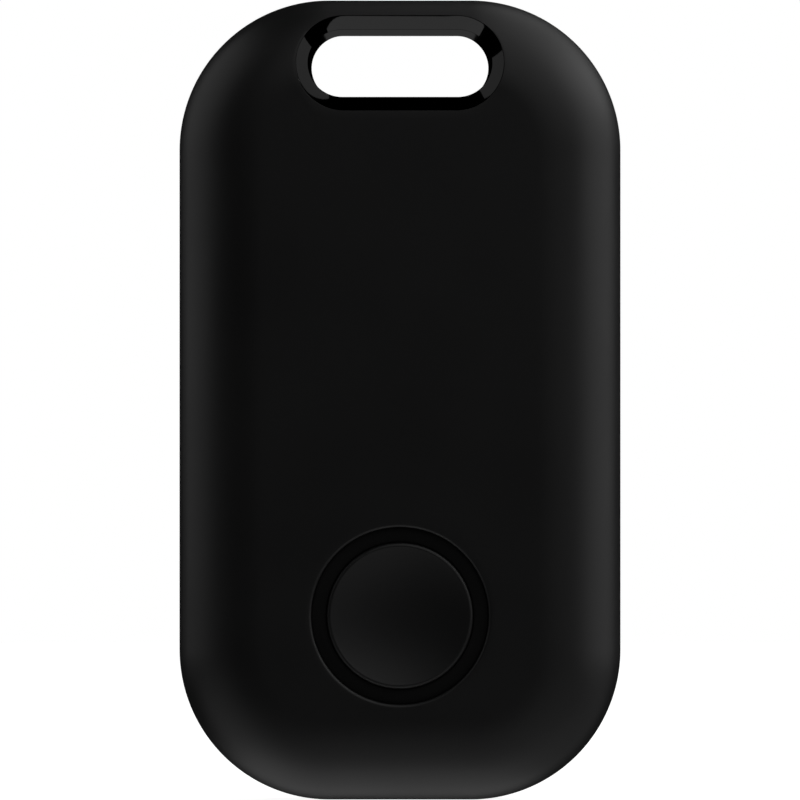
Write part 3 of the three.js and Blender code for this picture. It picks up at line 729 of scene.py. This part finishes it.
class TAG_OT_rear_cover(bpy.types.Operator):
    """Builds the rear cover with its snap lip, gasket groove, buzzer seat, sound holes and pry notch"""

    bl_idname = "tracker_tag.rear_cover"
    bl_label = "Rear Cover"

    def execute(self, context):
        case = context.scene.tag_case
        roll = case.rear_roll / MM
        holes = [(LINER_STRAIGHT / 2, 0.0, LINER_R + CLOSE, SLOT_EDGE), (0.0, BUTTON_Y, 0.0, 0.0)]
        cover = case_half("case_rear", case, roll, COVER_RIM_Z, REAR_Z, holes)
        cut(cover, case_space(roll, COVER_RIM_Z, REAR_INNER_Z))
        root, inner = GASKET_INSET + GASKET_WIDTH + 0.15, LIP_INSET + LIP_THICK
        lip = carried("lip", [
            (root, COVER_RIM_Z - LIP_ROOT), (root, COVER_RIM_Z), (LIP_INSET, COVER_RIM_Z),
            (LIP_INSET, LIP_TOP_Z - 0.2), (LIP_INSET + 0.15, LIP_TOP_Z), (inner - 0.1, LIP_TOP_Z),
            (inner, LIP_TOP_Z - 0.1), (inner, COVER_RIM_Z - LIP_ROOT),
        ], lambda inset: outline(inset, 32, 2))
        cut(
            lip, slot_tool(TUNNEL_R + 0.15, COVER_RIM_Z, LIP_TOP_Z + 1),
            slot_tool(BORE_R, REAR_Z - 1, COVER_RIM_Z + 1),
        )
        join(cover, lip)
        seat = tube_profile(SEAT_IN, SEAT_OUT, REAR_INNER_Z - BURIED, SEAT_TOP_Z)
        join(cover, turned("seat", seat, 0, BUTTON_Y))
        low, high = COVER_RIM_Z + GASKET_PROUD - GASKET_HEIGHT - FIT, COVER_RIM_Z + 1
        near, far = GASKET_INSET - FIT, GASKET_INSET + GASKET_WIDTH + FIT
        slot_far, slot_near = GASKET_SLOT_R + FIT, GASKET_SLOT_R - GASKET_WIDTH - FIT
        for start, end, ring in (
            (near, far, lambda inset: outline(inset, 48, 2)), (slot_far, slot_near, stadium),
        ):
            cut(cover, carried("groove", [(start, low), (start, high), (end, high), (end, low)], ring))
        flare = [
            (0, REAR_Z - 0.5), (HOLE_R + 0.15, REAR_Z - 0.05), (HOLE_R + 0.1, REAR_Z),
            (HOLE_R + 0.03, REAR_Z + 0.04), (HOLE_R, REAR_Z + 0.1), (HOLE_R, SEAT_TOP_Z), (0, SEAT_TOP_Z),
        ]
        for x, y in ((0, 0), (1, 0), (-1, 0), (0, 1), (0, -1)):
            cut(cover, turned("hole", flare, x * HOLE_PITCH, BUTTON_Y + y * HOLE_PITCH, 40))
        notch_z = COVER_RIM_Z - 0.6
        cut(cover, block("notch", 0, BOTTOM_Y, 6.0, 0.5, notch_z, COVER_RIM_Z + 1, corner=0.2, edge=0.15))
        dress(cover, "case", "rear_cover")
        dress(gasket(), "elastomer", "cover_gasket")
        return {"FINISHED"}


def gasket():
    """Two rounded loops, one along the cover's rim and one round the slot."""
    top = COVER_RIM_Z + GASKET_PROUD
    low = top - GASKET_HEIGHT

    def section(near, far):
        return rounded([(near, low), (near, top), (far, top), (far, low)], 0.12, steps=5)

    edge = section(GASKET_INSET, GASKET_INSET + GASKET_WIDTH)
    inner = section(GASKET_SLOT_R, GASKET_SLOT_R - GASKET_WIDTH)
    skin = Skin()
    skin.grid(np.stack([lifted(outline(d, 40, 2), z) for d, z in edge]), wrap_rows=True)
    skin.grid(np.stack([lifted(stadium(r), z) for r, z in inner]), wrap_rows=True)
    return skin.make("gasket")


class TAG_OT_slot_liner(bpy.types.Operator):
    """Builds the polished liner of the key-ring slot"""

    bl_idname = "tracker_tag.slot_liner"
    bl_label = "Slot Liner"

    def execute(self, context):
        dress(slot_liner(context.scene.tag_case, context.scene.tag_slot), "gloss_liner", "slot_liner")
        return {"FINISHED"}


def slot_liner(case, slot):
    """A closed section carried round the slot. Its outer edges lie on the case's surface at each point,
    so the chamfers, which drop by a fixed depth across the wall, follow the curve of the case. A low
    rib on the outside grips the front shell, and closes the gap behind the wall."""
    wall, ends, depth, draft = (v / MM for v in (slot.wall, slot.end_wall, slot.depth, slot.draft))
    outer = stadium(LINER_R)
    front = rolled(outer, case, SHELL_RIM_Z + SEAM_ROUND, FRONT_Z, case.front_roll / MM)
    rear = rolled(outer, case, COVER_RIM_Z - SEAM_ROUND, REAR_Z, case.rear_roll / MM)

    def row(share, z, narrower=0.0):
        """The ring that lies a share of the way through the wall."""
        straight = LINER_STRAIGHT + 2 * (wall - ends) * share
        ring = stadium(LINER_R - wall * share - narrower, straight)
        return lifted(ring, z)

    edge, e = SLOT_EDGE, SLOT_EDGE / wall
    hole_front, hole_rear = front - depth, rear + depth
    rows = [
        row(0, rear + edge), row(e * 0.3, rear + edge * 0.3), row(e, rear + edge * 0.57),
        row(1 - e, hole_rear - edge * 0.57, draft), row(1 - e * 0.3, hole_rear + edge * 0.3, draft),
        row(1, hole_rear + edge, draft),
        row(1, hole_front - edge), row(1 - e * 0.3, hole_front - edge * 0.3),
        row(1 - e, hole_front + edge * 0.57),
        row(e, front - edge * 0.57), row(e * 0.3, front - edge * 0.3), row(0, front - edge),
    ]
    level = np.zeros(len(outer))
    rib = -(CLOSE - 0.005) / wall
    rows += [row(0, level + 0.35), row(rib, level + 0.3), row(rib, level - 0.3), row(0, level - 0.35)]
    return Skin().grid(np.stack(rows), wrap_rows=True).make("slot_ring", 18.0)


# ---------------------------------------------------------------- the button and its switch


class TAG_OT_button(bpy.types.Operator):
    """Builds the dished button, the elastomer ring round it and the tact switch behind it"""

    bl_idname = "tracker_tag.button"
    bl_label = "Button"

    def execute(self, context):
        dress(button_cap(context.scene.tag_button), "button", "button_cap")
        dress(button_seal(), "elastomer", "button_seal")
        for name, node, slot, hole_r in (
            ("switch_body", "switch_base", "dark_resin", 1.3),
            ("switch_lid", "switch_cover", "bright_metal", 0.8),
        ):
            low, high = span(node, "z")
            side = width_of(node, "x")
            piece = block(name, 0, BUTTON_Y, side, side, low, high, 0.25, 0.02)
            dress(cut(piece, rod(hole_r, 0, BUTTON_Y, low - 0.5, high + 0.5)), slot, node)
        dome = dress(switch_dome(), "bright_metal", "switch_dome")
        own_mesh(dome)
        dress(switch_plunger(), "dark_resin", "switch_plunger")
        return {"FINISHED"}


def button_cap(button):
    """A flat-backed cap with a rounded rim round a dish that is part of a sphere."""
    dish_r, depth, edge = button.dish_radius / MM, button.dish_depth / MM, button.rim_round / MM
    share = np.linspace(1, 0, 32)
    sphere_r = (dish_r ** 2 + depth ** 2) / (2 * depth)
    floor = BUTTON_RIM_Z - 0.02 - depth
    fall = sphere_r - np.sqrt(sphere_r ** 2 - (dish_r * share) ** 2)
    dish = np.stack([dish_r * share, floor + fall], axis=1)
    rim = arc((BUTTON_R - edge, BUTTON_RIM_Z - edge), edge, 0, 84, 9)
    back = [(0, BUTTON_UNDER_Z), (BUTTON_R - 0.08, BUTTON_UNDER_Z), (BUTTON_R, BUTTON_UNDER_Z + 0.08)]
    land = [(dish_r + 0.04, BUTTON_RIM_Z - 0.004)]
    profile = np.concatenate([back, rim, land, dish])
    return turned("button", profile, y=BUTTON_Y, steps=160, smooth_angle=40)


def button_seal():
    """The ring's section: a flat face low in the opening, and a lip behind the case's wall."""
    inner, (low, face) = BUTTON_R + 0.03, span("button_seal", "z")
    outer, high, lip = OPENING_R - CLOSE, FRONT_INNER_Z - FIT, width_of("button_seal", "x") / 2
    corners = [(inner, low), (lip, low), (lip, high), (outer, high), (outer, face), (inner, face)]
    section = rounded(corners, [0.05, 0.1, 0.1, 0.05, 0.03, 0.05])
    return turned("button_ring", section, y=BUTTON_Y, steps=160)


def switch_dome():
    """A snap dome: two parabolas of radius, one for each face."""
    rim, top = span("switch_dome", "z")
    radius, thick = width_of("switch_dome", "x") / 2, 0.06
    share = np.linspace(0, 1, 16)
    under = np.stack([(radius - thick) * share, rim + (top - rim - thick) * (1 - share ** 2)], axis=1)
    over = np.stack([radius * share, rim + (top - rim) * (1 - share ** 2)], axis=1)[::-1]
    return turned("snap_dome", np.concatenate([under, over]), y=BUTTON_Y, steps=64)


def switch_plunger():
    low, high = span("switch_plunger", "z")
    flange, pin = width_of("switch_plunger", "x") / 2, 0.65
    profile = rounded(
        [(0, low), (flange, low), (flange, low + 0.12), (pin, low + 0.12), (pin, high), (0, high)],
        [0, 0.03, 0.03, 0.04, 0.08, 0], closed=False,
    )
    return turned("plunger", profile, y=BUTTON_Y, steps=64)


# ---------------------------------------------------------------- the board and what is on it

def box_of(node):
    """Middle, size and heights of a node: x, y, width, height, low, high."""
    low, high = span(node, "z")
    return middle(node, "x"), middle(node, "y"), width_of(node, "x"), width_of(node, "y"), low, high


class TAG_OT_board(bpy.types.Operator):
    """Builds the board with its raised traces and pads, and the four screws that hold it"""

    bl_idname = "tracker_tag.board"
    bl_label = "Board and Screws"

    def execute(self, context):
        inset, bevel, screw_hole_r = 2.6, 0.03, 0.55
        board = stacked("laminate", [
            (inset + bevel, BOARD_REAR_Z), (inset, BOARD_REAR_Z + bevel),
            (inset, BOARD_FRONT_Z - bevel), (inset + bevel, BOARD_FRONT_Z),
        ], lambda d: outline(d, 32, 4))
        cut(board, slot_tool(TUNNEL_R + 0.3, BOARD_REAR_Z - 1, BOARD_FRONT_Z + 1))
        for x, y in SCREW_PLACES:
            cut(board, rod(screw_hole_r, x, y, BOARD_REAR_Z - 1, BOARD_FRONT_Z + 1, 32))
        add_shells(board, pads())
        add_shells(board, traces(), 2)
        dress(board, "circuit_board", "pcb", extra=["spring_bronze", "trace"])
        for k, (x, y) in enumerate(SCREW_PLACES):
            dress(board_screw("screw_%d" % (k + 1), x, y), "screw_steel", "board_screw_%d" % (k + 1))
        return {"FINISHED"}


PAD_PROUD, TRACE_PROUD, COPPER_SUNK = 0.025, 0.02, 0.01
# Where the copper runs on the board's rear face, as (width, points).
TRACES = [
    (0.3, [(-4.3, -29.3), (3.2, -29.3)]),
    (0.3, [(-4.3, -30.4), (5.6, -30.4), (6.4, -31.2), (7.8, -31.2)]),
    (0.3, [(-4.3, -31.4), (-3.4, -31.4), (-2.4, -32.4), (-2.4, -34.0)]),
    (0.45, [(-5.2, -32.2), (-5.2, -37.4), (-1.6, -41.0), (-1.6, -43.2)]),
    (0.6, [(-3.4, -15.0), (-4.4, -16.0), (-4.4, -25.6), (-5.6, -26.8), (-5.6, -27.8)]),
    (0.6, [(2.2, -26.4), (8.8, -26.4), (10.2, -27.8), (10.2, -33.4), (9.2, -34.4)]),
    (0.45, [(8.6, -35.6), (7.6, -36.6), (5.8, -36.6)]),
    (0.3, [(-8.8, -30.6), (-9.6, -31.4), (-9.6, -33.4)]),
    (0.3, [(3.8, -41.8), (2.4, -43.2)]),
    (0.3, [(-7.6, -32.2), (-7.6, -37.0), (-9.4, -38.8)]),
]
# Bare pads under the contacts, as (x, y, width, height), and round test pads.
PADS = [(0, CELL_Y, 7.5, 3.5), (0, -26.4, 5.4, 1.9), (-2.4, -35.1, 1.7, 2.2), (5.7, -35.8, 1.7, 2.2)]
TEST_PADS = [(-10.9, -26.0), (-10.9, -27.6), (-10.9, -29.2), (10.6, -24.4), (10.6, -26.0), (0.8, -38.6)]


def pads():
    """Gold-flashed pads that stand proud of the board."""
    low, high = BOARD_REAR_Z - PAD_PROUD, BOARD_REAR_Z + COPPER_SUNK
    skin = Skin()
    for x, y, width, height in PADS:
        skin.grid(slab(x, y, width, height, low, high, 0.1, 0.008), caps=True)
    for x, y in TEST_PADS:
        skin.grid(slab(x, y, 1.0, 1.0, low, high, 0.49, 0.008), caps=True)
    return skin.make("pads")


def traces():
    skin = Skin()
    for width, points in TRACES:
        path = rounded(np.array(points), 0.3, steps=4, closed=False)
        skin.grid(ribbon(path, width, BOARD_REAR_Z - TRACE_PROUD, BOARD_REAR_Z + COPPER_SUNK), caps=True)
    return skin.make("traces")


def board_screw(name, x, y):
    """A pan-headed screw: its thread is a profile of shallow vees, and its head has a cross recess."""
    low, high = span("board_screw_1", "z")
    seat, shank = BOARD_REAR_Z - FIT, 0.4
    threads = [(shank - 0.09 * (k % 2), seat + 0.25 + 0.11 * k) for k in range(13)]
    profile = [
        (0, low), (0.7, low + 0.01), (0.9, low + 0.08), (0.99, low + 0.2), (1.0, seat), (shank, seat),
    ]
    screw = turned(name, profile + threads + [(0.25, high - 0.02), (0, high)], x, y, 64)
    for width, height in ((0.95, 0.2), (0.2, 0.95)):
        cut(screw, block("recess", x, y, width, height, low - 0.5, low + 0.25, 0.04, 0.03))
    return screw


class TAG_OT_board_parts(bpy.types.Operator):
    """Builds the radio chip, the crystals, the antenna, the inductor and the capacitors"""

    bl_idname = "tracker_tag.board_parts"
    bl_label = "Board Parts"

    def execute(self, context):
        dress(radio_chip(), "dark_resin", "bluetooth_chip", extra=["bright_metal"])
        for name, node in (("crystal_1", "main_crystal"), ("crystal_2", "clock_crystal")):
            dress(crystal(name, node), "bright_metal", node, extra=["white_ceramic"])
        for name, node, slot, cap, along_x in (
            ("antenna", "chip_antenna", "white_ceramic", 0.35, True),
            ("inductor", "buzzer_inductor", "dark_resin", 0.4, False),
            ("chip_capacitor_1", "capacitor_1", "tan_ceramic", 0.24, True),
            ("chip_capacitor_2", "capacitor_2", "tan_ceramic", 0.24, False),
            ("chip_capacitor_3", "capacitor_3", "tan_ceramic", 0.24, True),
        ):
            dress(ended_block(name, node, cap, along_x), slot, node, extra=["bright_metal"])
        return {"FINISHED"}


def radio_chip():
    """A leadless package: a moulded body with a dimple at one corner and a row of pads on each side."""
    x, y, width, height, low, high = box_of("bluetooth_chip")
    body = block("radio_chip", x, y, width - 0.06, height - 0.06, low, high, 0.08, 0.03)
    cut(body, rod(0.25, x - 1.8, y + 1.8, low - 0.5, low + 0.06, 32))
    leads, deep, broad = Skin(), 0.22, 0.24
    edges = (high - 0.2, high - 0.005, 0.05, 0.01)
    for k in np.linspace(-1.75, 1.75, 8):
        for side in (-1, 1):
            out_x, out_y = side * (width / 2 - deep / 2), side * (height / 2 - deep / 2)
            leads.grid(slab(x + out_x, y + k, deep, broad, *edges), caps=True)
            leads.grid(slab(x + k, y + out_y, broad, deep, *edges), caps=True)
    return add_shells(body, leads.make("leads"))


def add_shells(thing, other, finish=1):
    """Puts another piece's shells into the first, under one of its other finishes."""
    start = len(thing.data.polygons)
    work = bmesh.new()
    work.from_mesh(thing.data)
    work.from_mesh(other.data)
    for face in list(work.faces)[start:]:
        face.material_index = finish
    work.to_mesh(thing.data)
    work.free()
    bpy.data.objects.remove(other)
    return thing


def crystal(name, node):
    """A ceramic base under a seam-welded lid with rounded shoulders."""
    x, y, width, height, low, high = box_of(node)
    split = high - 0.25
    skin = Skin().grid(slab(x, y, width - 0.2, height - 0.2, low, split + 0.02, 0.25, 0.09), caps=True)
    skin.grid(slab(x, y, width, height, split, high, 0.2, 0.02), caps=True, finish=1)
    return skin.make(name)


def ended_block(name, node, cap, along_x):
    """A ceramic or ferrite block with a plated cap round each end."""
    x, y, width, height, low, high = box_of(node)
    skin = Skin()
    inner = (width - 0.1, height - 0.08) if along_x else (width - 0.08, height - 0.1)
    skin.grid(slab(x, y, *inner, low + 0.03, high - 0.03, 0.05, 0.03), caps=True)
    for side in (-1, 1):
        if along_x:
            rows = slab(x + side * (width - cap) / 2, y, cap, height, low, high, 0.05, 0.04)
        else:
            rows = slab(x, y + side * (height - cap) / 2, width, cap, low, high, 0.05, 0.04)
        skin.grid(rows, caps=True, finish=1)
    return skin.make(name)


CONTACT_METAL = 0.12
FINGER_Y = (BUTTON_Y - 0.8, BUTTON_Y - 1.5)


class TAG_OT_contacts(bpy.types.Operator):
    """Builds the cell's and the buzzer's sprung contacts"""

    bl_idname = "tracker_tag.contacts"
    bl_label = "Contacts"

    def execute(self, context):
        leaf = block("leaf_contact", *box_of("cell_negative_contact"), 0.6, 0.02)
        dress(leaf, "spring_bronze", "cell_negative_contact")
        foot, metal = BOARD_REAR_Z - FIT - CONTACT_METAL / 2, CONTACT_METAL
        touch = CELL_Y - CELL_R - FIT - metal / 2
        tongue = bent_strip("tongue_contact", [
            (touch - 2.4, foot), (touch - 0.7, foot), (touch - 0.35, foot - 0.35),
            (touch - 0.3, foot - 1), (touch, foot - 1.6), (touch - 0.35, foot - 2.2),
        ], metal, 5.0, 0.0)
        dress(tongue, "spring_bronze", "cell_positive_contact")
        for k, touched in ((1, "buzzer_ceramic"), (2, "buzzer_plate")):
            node = "buzzer_contact_%d" % k
            tip = span(touched, "z")[1] + FIT + metal / 2
            finger = bent_strip("finger_contact_%d" % k, [
                (1.6, foot), (0.2, foot), (-0.3, foot - 0.4),
                (0.9, tip + 0.3), (1.4, tip), (1.9, tip + 0.2),
            ], metal, 1.2, middle(node, "x"), FINGER_Y[k - 1])
            dress(finger, "spring_bronze", node)
        return {"FINISHED"}


# ---------------------------------------------------------------- the coin cell and the buzzer

class TAG_OT_coin_cell(bpy.types.Operator):
    """Builds the coin cell: its can, its grommet, its cap and what they hold"""

    bl_idname = "tracker_tag.coin_cell"
    bl_label = "Coin Cell"

    def execute(self, context):
        dress(cell_can(), "cell_steel", "cell_can")
        dress(cell_cap(), "cell_steel", "cell_cap")
        dress(ring_of("grommet", "cell_grommet", 0.45), "dark_resin", "cell_grommet")
        dress(disc_of("cathode", "cell_cathode", 0.08), "cell_fill", "cell_cathode")
        dress(disc_of("anode", "cell_anode", 0.08), "screw_steel", "cell_anode")
        return {"FINISHED"}


def disc_of(name, node, edge):
    """A rounded disc that fills a node's box."""
    (low, high), radius = span(node, "z"), width_of(node, "x") / 2
    profile = rounded(tube_profile(0, radius, low, high), [0, edge, edge, 0], closed=False)
    return turned(name, profile, middle(node, "x"), middle(node, "y"), 96)


def ring_of(name, node, wall, edge=0.03):
    """A rounded ring that fills a node's box."""
    (low, high), radius = span(node, "z"), width_of(node, "x") / 2
    section = rounded(tube_profile(radius - wall, radius, low, high), edge, steps=4)
    return turned(name, section, middle(node, "x"), middle(node, "y"), 128)


def cell_can():
    """A drawn cup with a shallow sunk face, its rim turned in."""
    low, rim = span("cell_can", "z")
    bore, wall = CELL_R - 0.25, 0.25
    sunk = [(0, low + 0.04), (8.3, low + 0.04), (8.5, low + 0.02), (8.7, low)]
    side = rounded(
        [(8.7, low), (CELL_R, low), (CELL_R, rim), (bore, rim), (bore, low + wall), (0, low + wall)],
        [0, 0.35, 0.14, 0.02, 0.05, 0], steps=8, closed=False,
    )
    return turned("can", np.concatenate([sunk, side[1:]]), 0, CELL_Y, 192)


def cell_cap():
    """The cap: a flat top, a rounded shoulder and a skirt held by the grommet."""
    low, top = span("cell_cap", "z")
    radius, wall = width_of("cell_cap", "x") / 2, 0.25
    profile = rounded([
        (0, top - wall), (radius - wall, top - wall), (radius - wall, low), (radius, low),
        (radius, top - 0.45), (radius - 0.3, top), (0, top),
    ], [0, 0.12, 0.02, 0.05, 0.2, 0.12, 0], closed=False)
    return turned("cap", profile, 0, CELL_Y, 160)


class TAG_OT_buzzer(bpy.types.Operator):
    """Builds the buzzer, its adhesive ring, the sound port's mesh and the foam pad"""

    bl_idname = "tracker_tag.buzzer"
    bl_label = "Buzzer"

    def execute(self, context):
        dress(disc_of("sounder_plate", "buzzer_plate", 0.03), "buzzer_brass", "buzzer_plate")
        dress(disc_of("sounder_ceramic", "buzzer_ceramic", 0.02), "white_ceramic", "buzzer_ceramic")
        dress(ring_of("adhesive_ring", "buzzer_adhesive_ring", 1.0, 0.02), "foam", "buzzer_adhesive_ring")
        dress(disc_of("foam_disc", "cell_foam_pad", 0.1), "foam", "cell_foam_pad")
        dress(disc_of("mesh_disc", "sound_port_mesh", 0.02), "port_mesh", "sound_port_mesh")
        return {"FINISHED"}


# ---------------------------------------------------------------- the studio

SENSOR = 36.0
FLOOR_R, FLOOR_GLOW = 260.0, 0.93
# The case's softboxes: degrees off the camera's axis, degrees round it from the right, half width and
# brightness. All are square and stand at the same distance from the middle of the tag.
SOFTBOX_DISTANCE = 260.0
SOFTBOXES = {
    "Key": (87, 19, 150, 0.76), "High key": (102, 52, 150, 0.76), "Top": (48, 69, 150, 0.44),
    "Low": (99, 263, 150, 0.72), "Low front": (51, 296, 150, 0.25), "Left": (96, 156, 150, 0.49),
    "Low left": (75, 226, 130, 0.30), "Low right": (97, 320, 115, 0.22),
}
# The polished liner mirrors cards of its own round the slot: off axis, round it, half width, half
# height and brightness, at a shorter distance from the middle of the slot.
CARD_DISTANCE = 150.0
CARDS = {
    "Right card": (71, 39, 82, 42, 0.47), "Left card": (70, 141, 40, 42, 0.40),
    "Low card": (64, 260.5, 296, 50, 0.66), "Back card": (171, 270, 60, 12, 0.05),
}


def soft_light(name, target, distance, off, turn, half_width, half_height, brightness):
    """A rectangular light facing a point. Its power is pi times its area times its brightness."""
    off, turn = math.radians(off), math.radians(turn)
    way = np.array([math.sin(off) * math.cos(turn), math.sin(off) * math.sin(turn), math.cos(off)])
    place = np.array(target) + distance * way
    data = bpy.data.lights.new(name, "AREA")
    data.shape = "RECTANGLE"
    data.size, data.size_y = 2 * half_width * MM, 2 * half_height * MM
    strength = bpy.context.scene.tag_stage.light_strength
    data.energy = math.pi * data.size * data.size_y * brightness * strength
    light = bpy.data.objects.new(name, data)
    bpy.context.scene.collection.objects.link(light)
    light.location = Vector(to_world(place))
    back = Vector(to_world(way)).normalized()
    across = Vector(to_world([-math.sin(turn), math.cos(turn), 0.0])).normalized()
    light.rotation_euler = Matrix((across, back.cross(across), back)).transposed().to_euler()
    light.visible_camera = False
    return light


class TAG_OT_stage(bpy.types.Operator):
    """Builds the camera, the world, the floor and the lights"""

    bl_idname = "tracker_tag.stage"
    bl_label = "Studio"

    def execute(self, context):
        scene = context.scene
        scene.view_settings.view_transform = "Standard"
        distance = scene.tag_stage.camera_distance / MM
        camera = bpy.data.objects.new("Camera", bpy.data.cameras.new("Camera"))
        scene.collection.objects.link(camera)
        scene.camera = camera
        camera.data.sensor_width = SENSOR
        camera.data.lens = SENSOR * distance / HEIGHT
        camera.data.clip_start, camera.data.clip_end = 0.01, 10.0
        camera.location = Vector((0, -distance, CENTRE_Y)) * MM
        camera.rotation_euler = (math.pi / 2, 0, 0)
        studio_world(scene)
        studio_floor()
        liner = bpy.data.objects["slot_ring"]
        but_liner, only_liner = (bpy.data.collections.new(n) for n in ("Case light", "Liner light"))
        for group, state in ((but_liner, "EXCLUDE"), (only_liner, "INCLUDE")):
            group.objects.link(liner)
            group.collection_objects[0].light_linking.link_state = state
        for name, (off, turn, half, brightness) in SOFTBOXES.items():
            light = soft_light(
                name, (0, CENTRE_Y, 0), SOFTBOX_DISTANCE, off, turn, half, half, brightness)
            light.light_linking.receiver_collection = but_liner
        for name, (off, turn, half_width, half_height, brightness) in CARDS.items():
            light = soft_light(
                name, (0, 0, 0), CARD_DISTANCE, off, turn, half_width, half_height, brightness)
            light.light_linking.receiver_collection = only_liner
        return {"FINISHED"}


def studio_world(scene):
    """White where the camera looks past the tag, and dark in what lights it."""
    world = bpy.data.worlds.new("Studio")
    world.use_nodes = True
    scene.world = world
    nodes, links = world.node_tree.nodes, world.node_tree.links
    background, path = nodes["Background"], nodes.new("ShaderNodeLightPath")
    background.inputs["Color"].default_value = (1, 1, 1, 1)
    links.new(path.outputs["Is Camera Ray"], background.inputs["Strength"])


def studio_floor():
    """A pale round floor under the tag. It glows, so it stays pale under lights this dim, and only the
    camera sees it, so it doesn't stand between the low lights and the tag."""
    mesh, steps = bpy.data.meshes.new("Floor"), 128
    ring = circle(FLOOR_R, steps)
    places = np.stack([ring[:, 0], np.full(steps, BOTTOM_Y), ring[:, 1]], axis=1)
    mesh.from_pydata(to_world(places).tolist(), [], [list(range(steps))[::-1]])
    floor = bpy.data.objects.new("Floor", mesh)
    bpy.context.scene.collection.objects.link(floor)
    paint = surface("Pale floor", "moulded", (0.8, 0.8, 0.8), 0.6, tint=0.02, bump=0.0, sizes=(300, 20))
    shader = paint.node_tree.nodes["Principled BSDF"]
    shader.inputs["Emission Color"].default_value = (1, 1, 1, 1)
    shader.inputs["Emission Strength"].default_value = FLOOR_GLOW
    mesh.materials.append(paint)
    for ray in ("diffuse", "glossy", "transmission", "shadow"):
        setattr(floor, "visible_" + ray, False)


# ---------------------------------------------------------------- the panel, and running it all

STEPS = [
    "front_shell", "rear_cover", "slot_liner", "button", "board", "board_parts", "contacts", "coin_cell",
    "buzzer", "stage",
]


class TAG_PT_panel(bpy.types.Panel):
    """Lists the tag's parts in the sidebar"""

    bl_label = "Tracker Tag"
    bl_idname = "TAG_PT_panel"
    bl_space_type = "VIEW_3D"
    bl_region_type = "UI"
    bl_category = "Tracker Tag"

    def draw(self, context):
        for step in STEPS:
            self.layout.operator("tracker_tag." + step)


SETTINGS = {
    "tag_case": TagCaseSettings, "tag_slot": TagSlotSettings, "tag_button": TagButtonSettings,
    "tag_inside": TagInsideSettings, "tag_stage": TagStageSettings,
}
CLASSES = [
    *SETTINGS.values(), TAG_OT_front_shell, TAG_OT_rear_cover, TAG_OT_slot_liner, TAG_OT_button,
    TAG_OT_board, TAG_OT_board_parts, TAG_OT_contacts, TAG_OT_coin_cell, TAG_OT_buzzer, TAG_OT_stage,
    TAG_PT_panel,
]


def register():
    for kind in CLASSES:
        bpy.utils.register_class(kind)
    for name, kind in SETTINGS.items():
        setattr(bpy.types.Scene, name, bpy.props.PointerProperty(type=kind))


def unregister():
    for name in SETTINGS:
        delattr(bpy.types.Scene, name)
    for kind in reversed(CLASSES):
        bpy.utils.unregister_class(kind)


def main():
    register()
    for step in STEPS:
        getattr(bpy.ops.tracker_tag, step)()


if __name__ == "__main__":
    main()
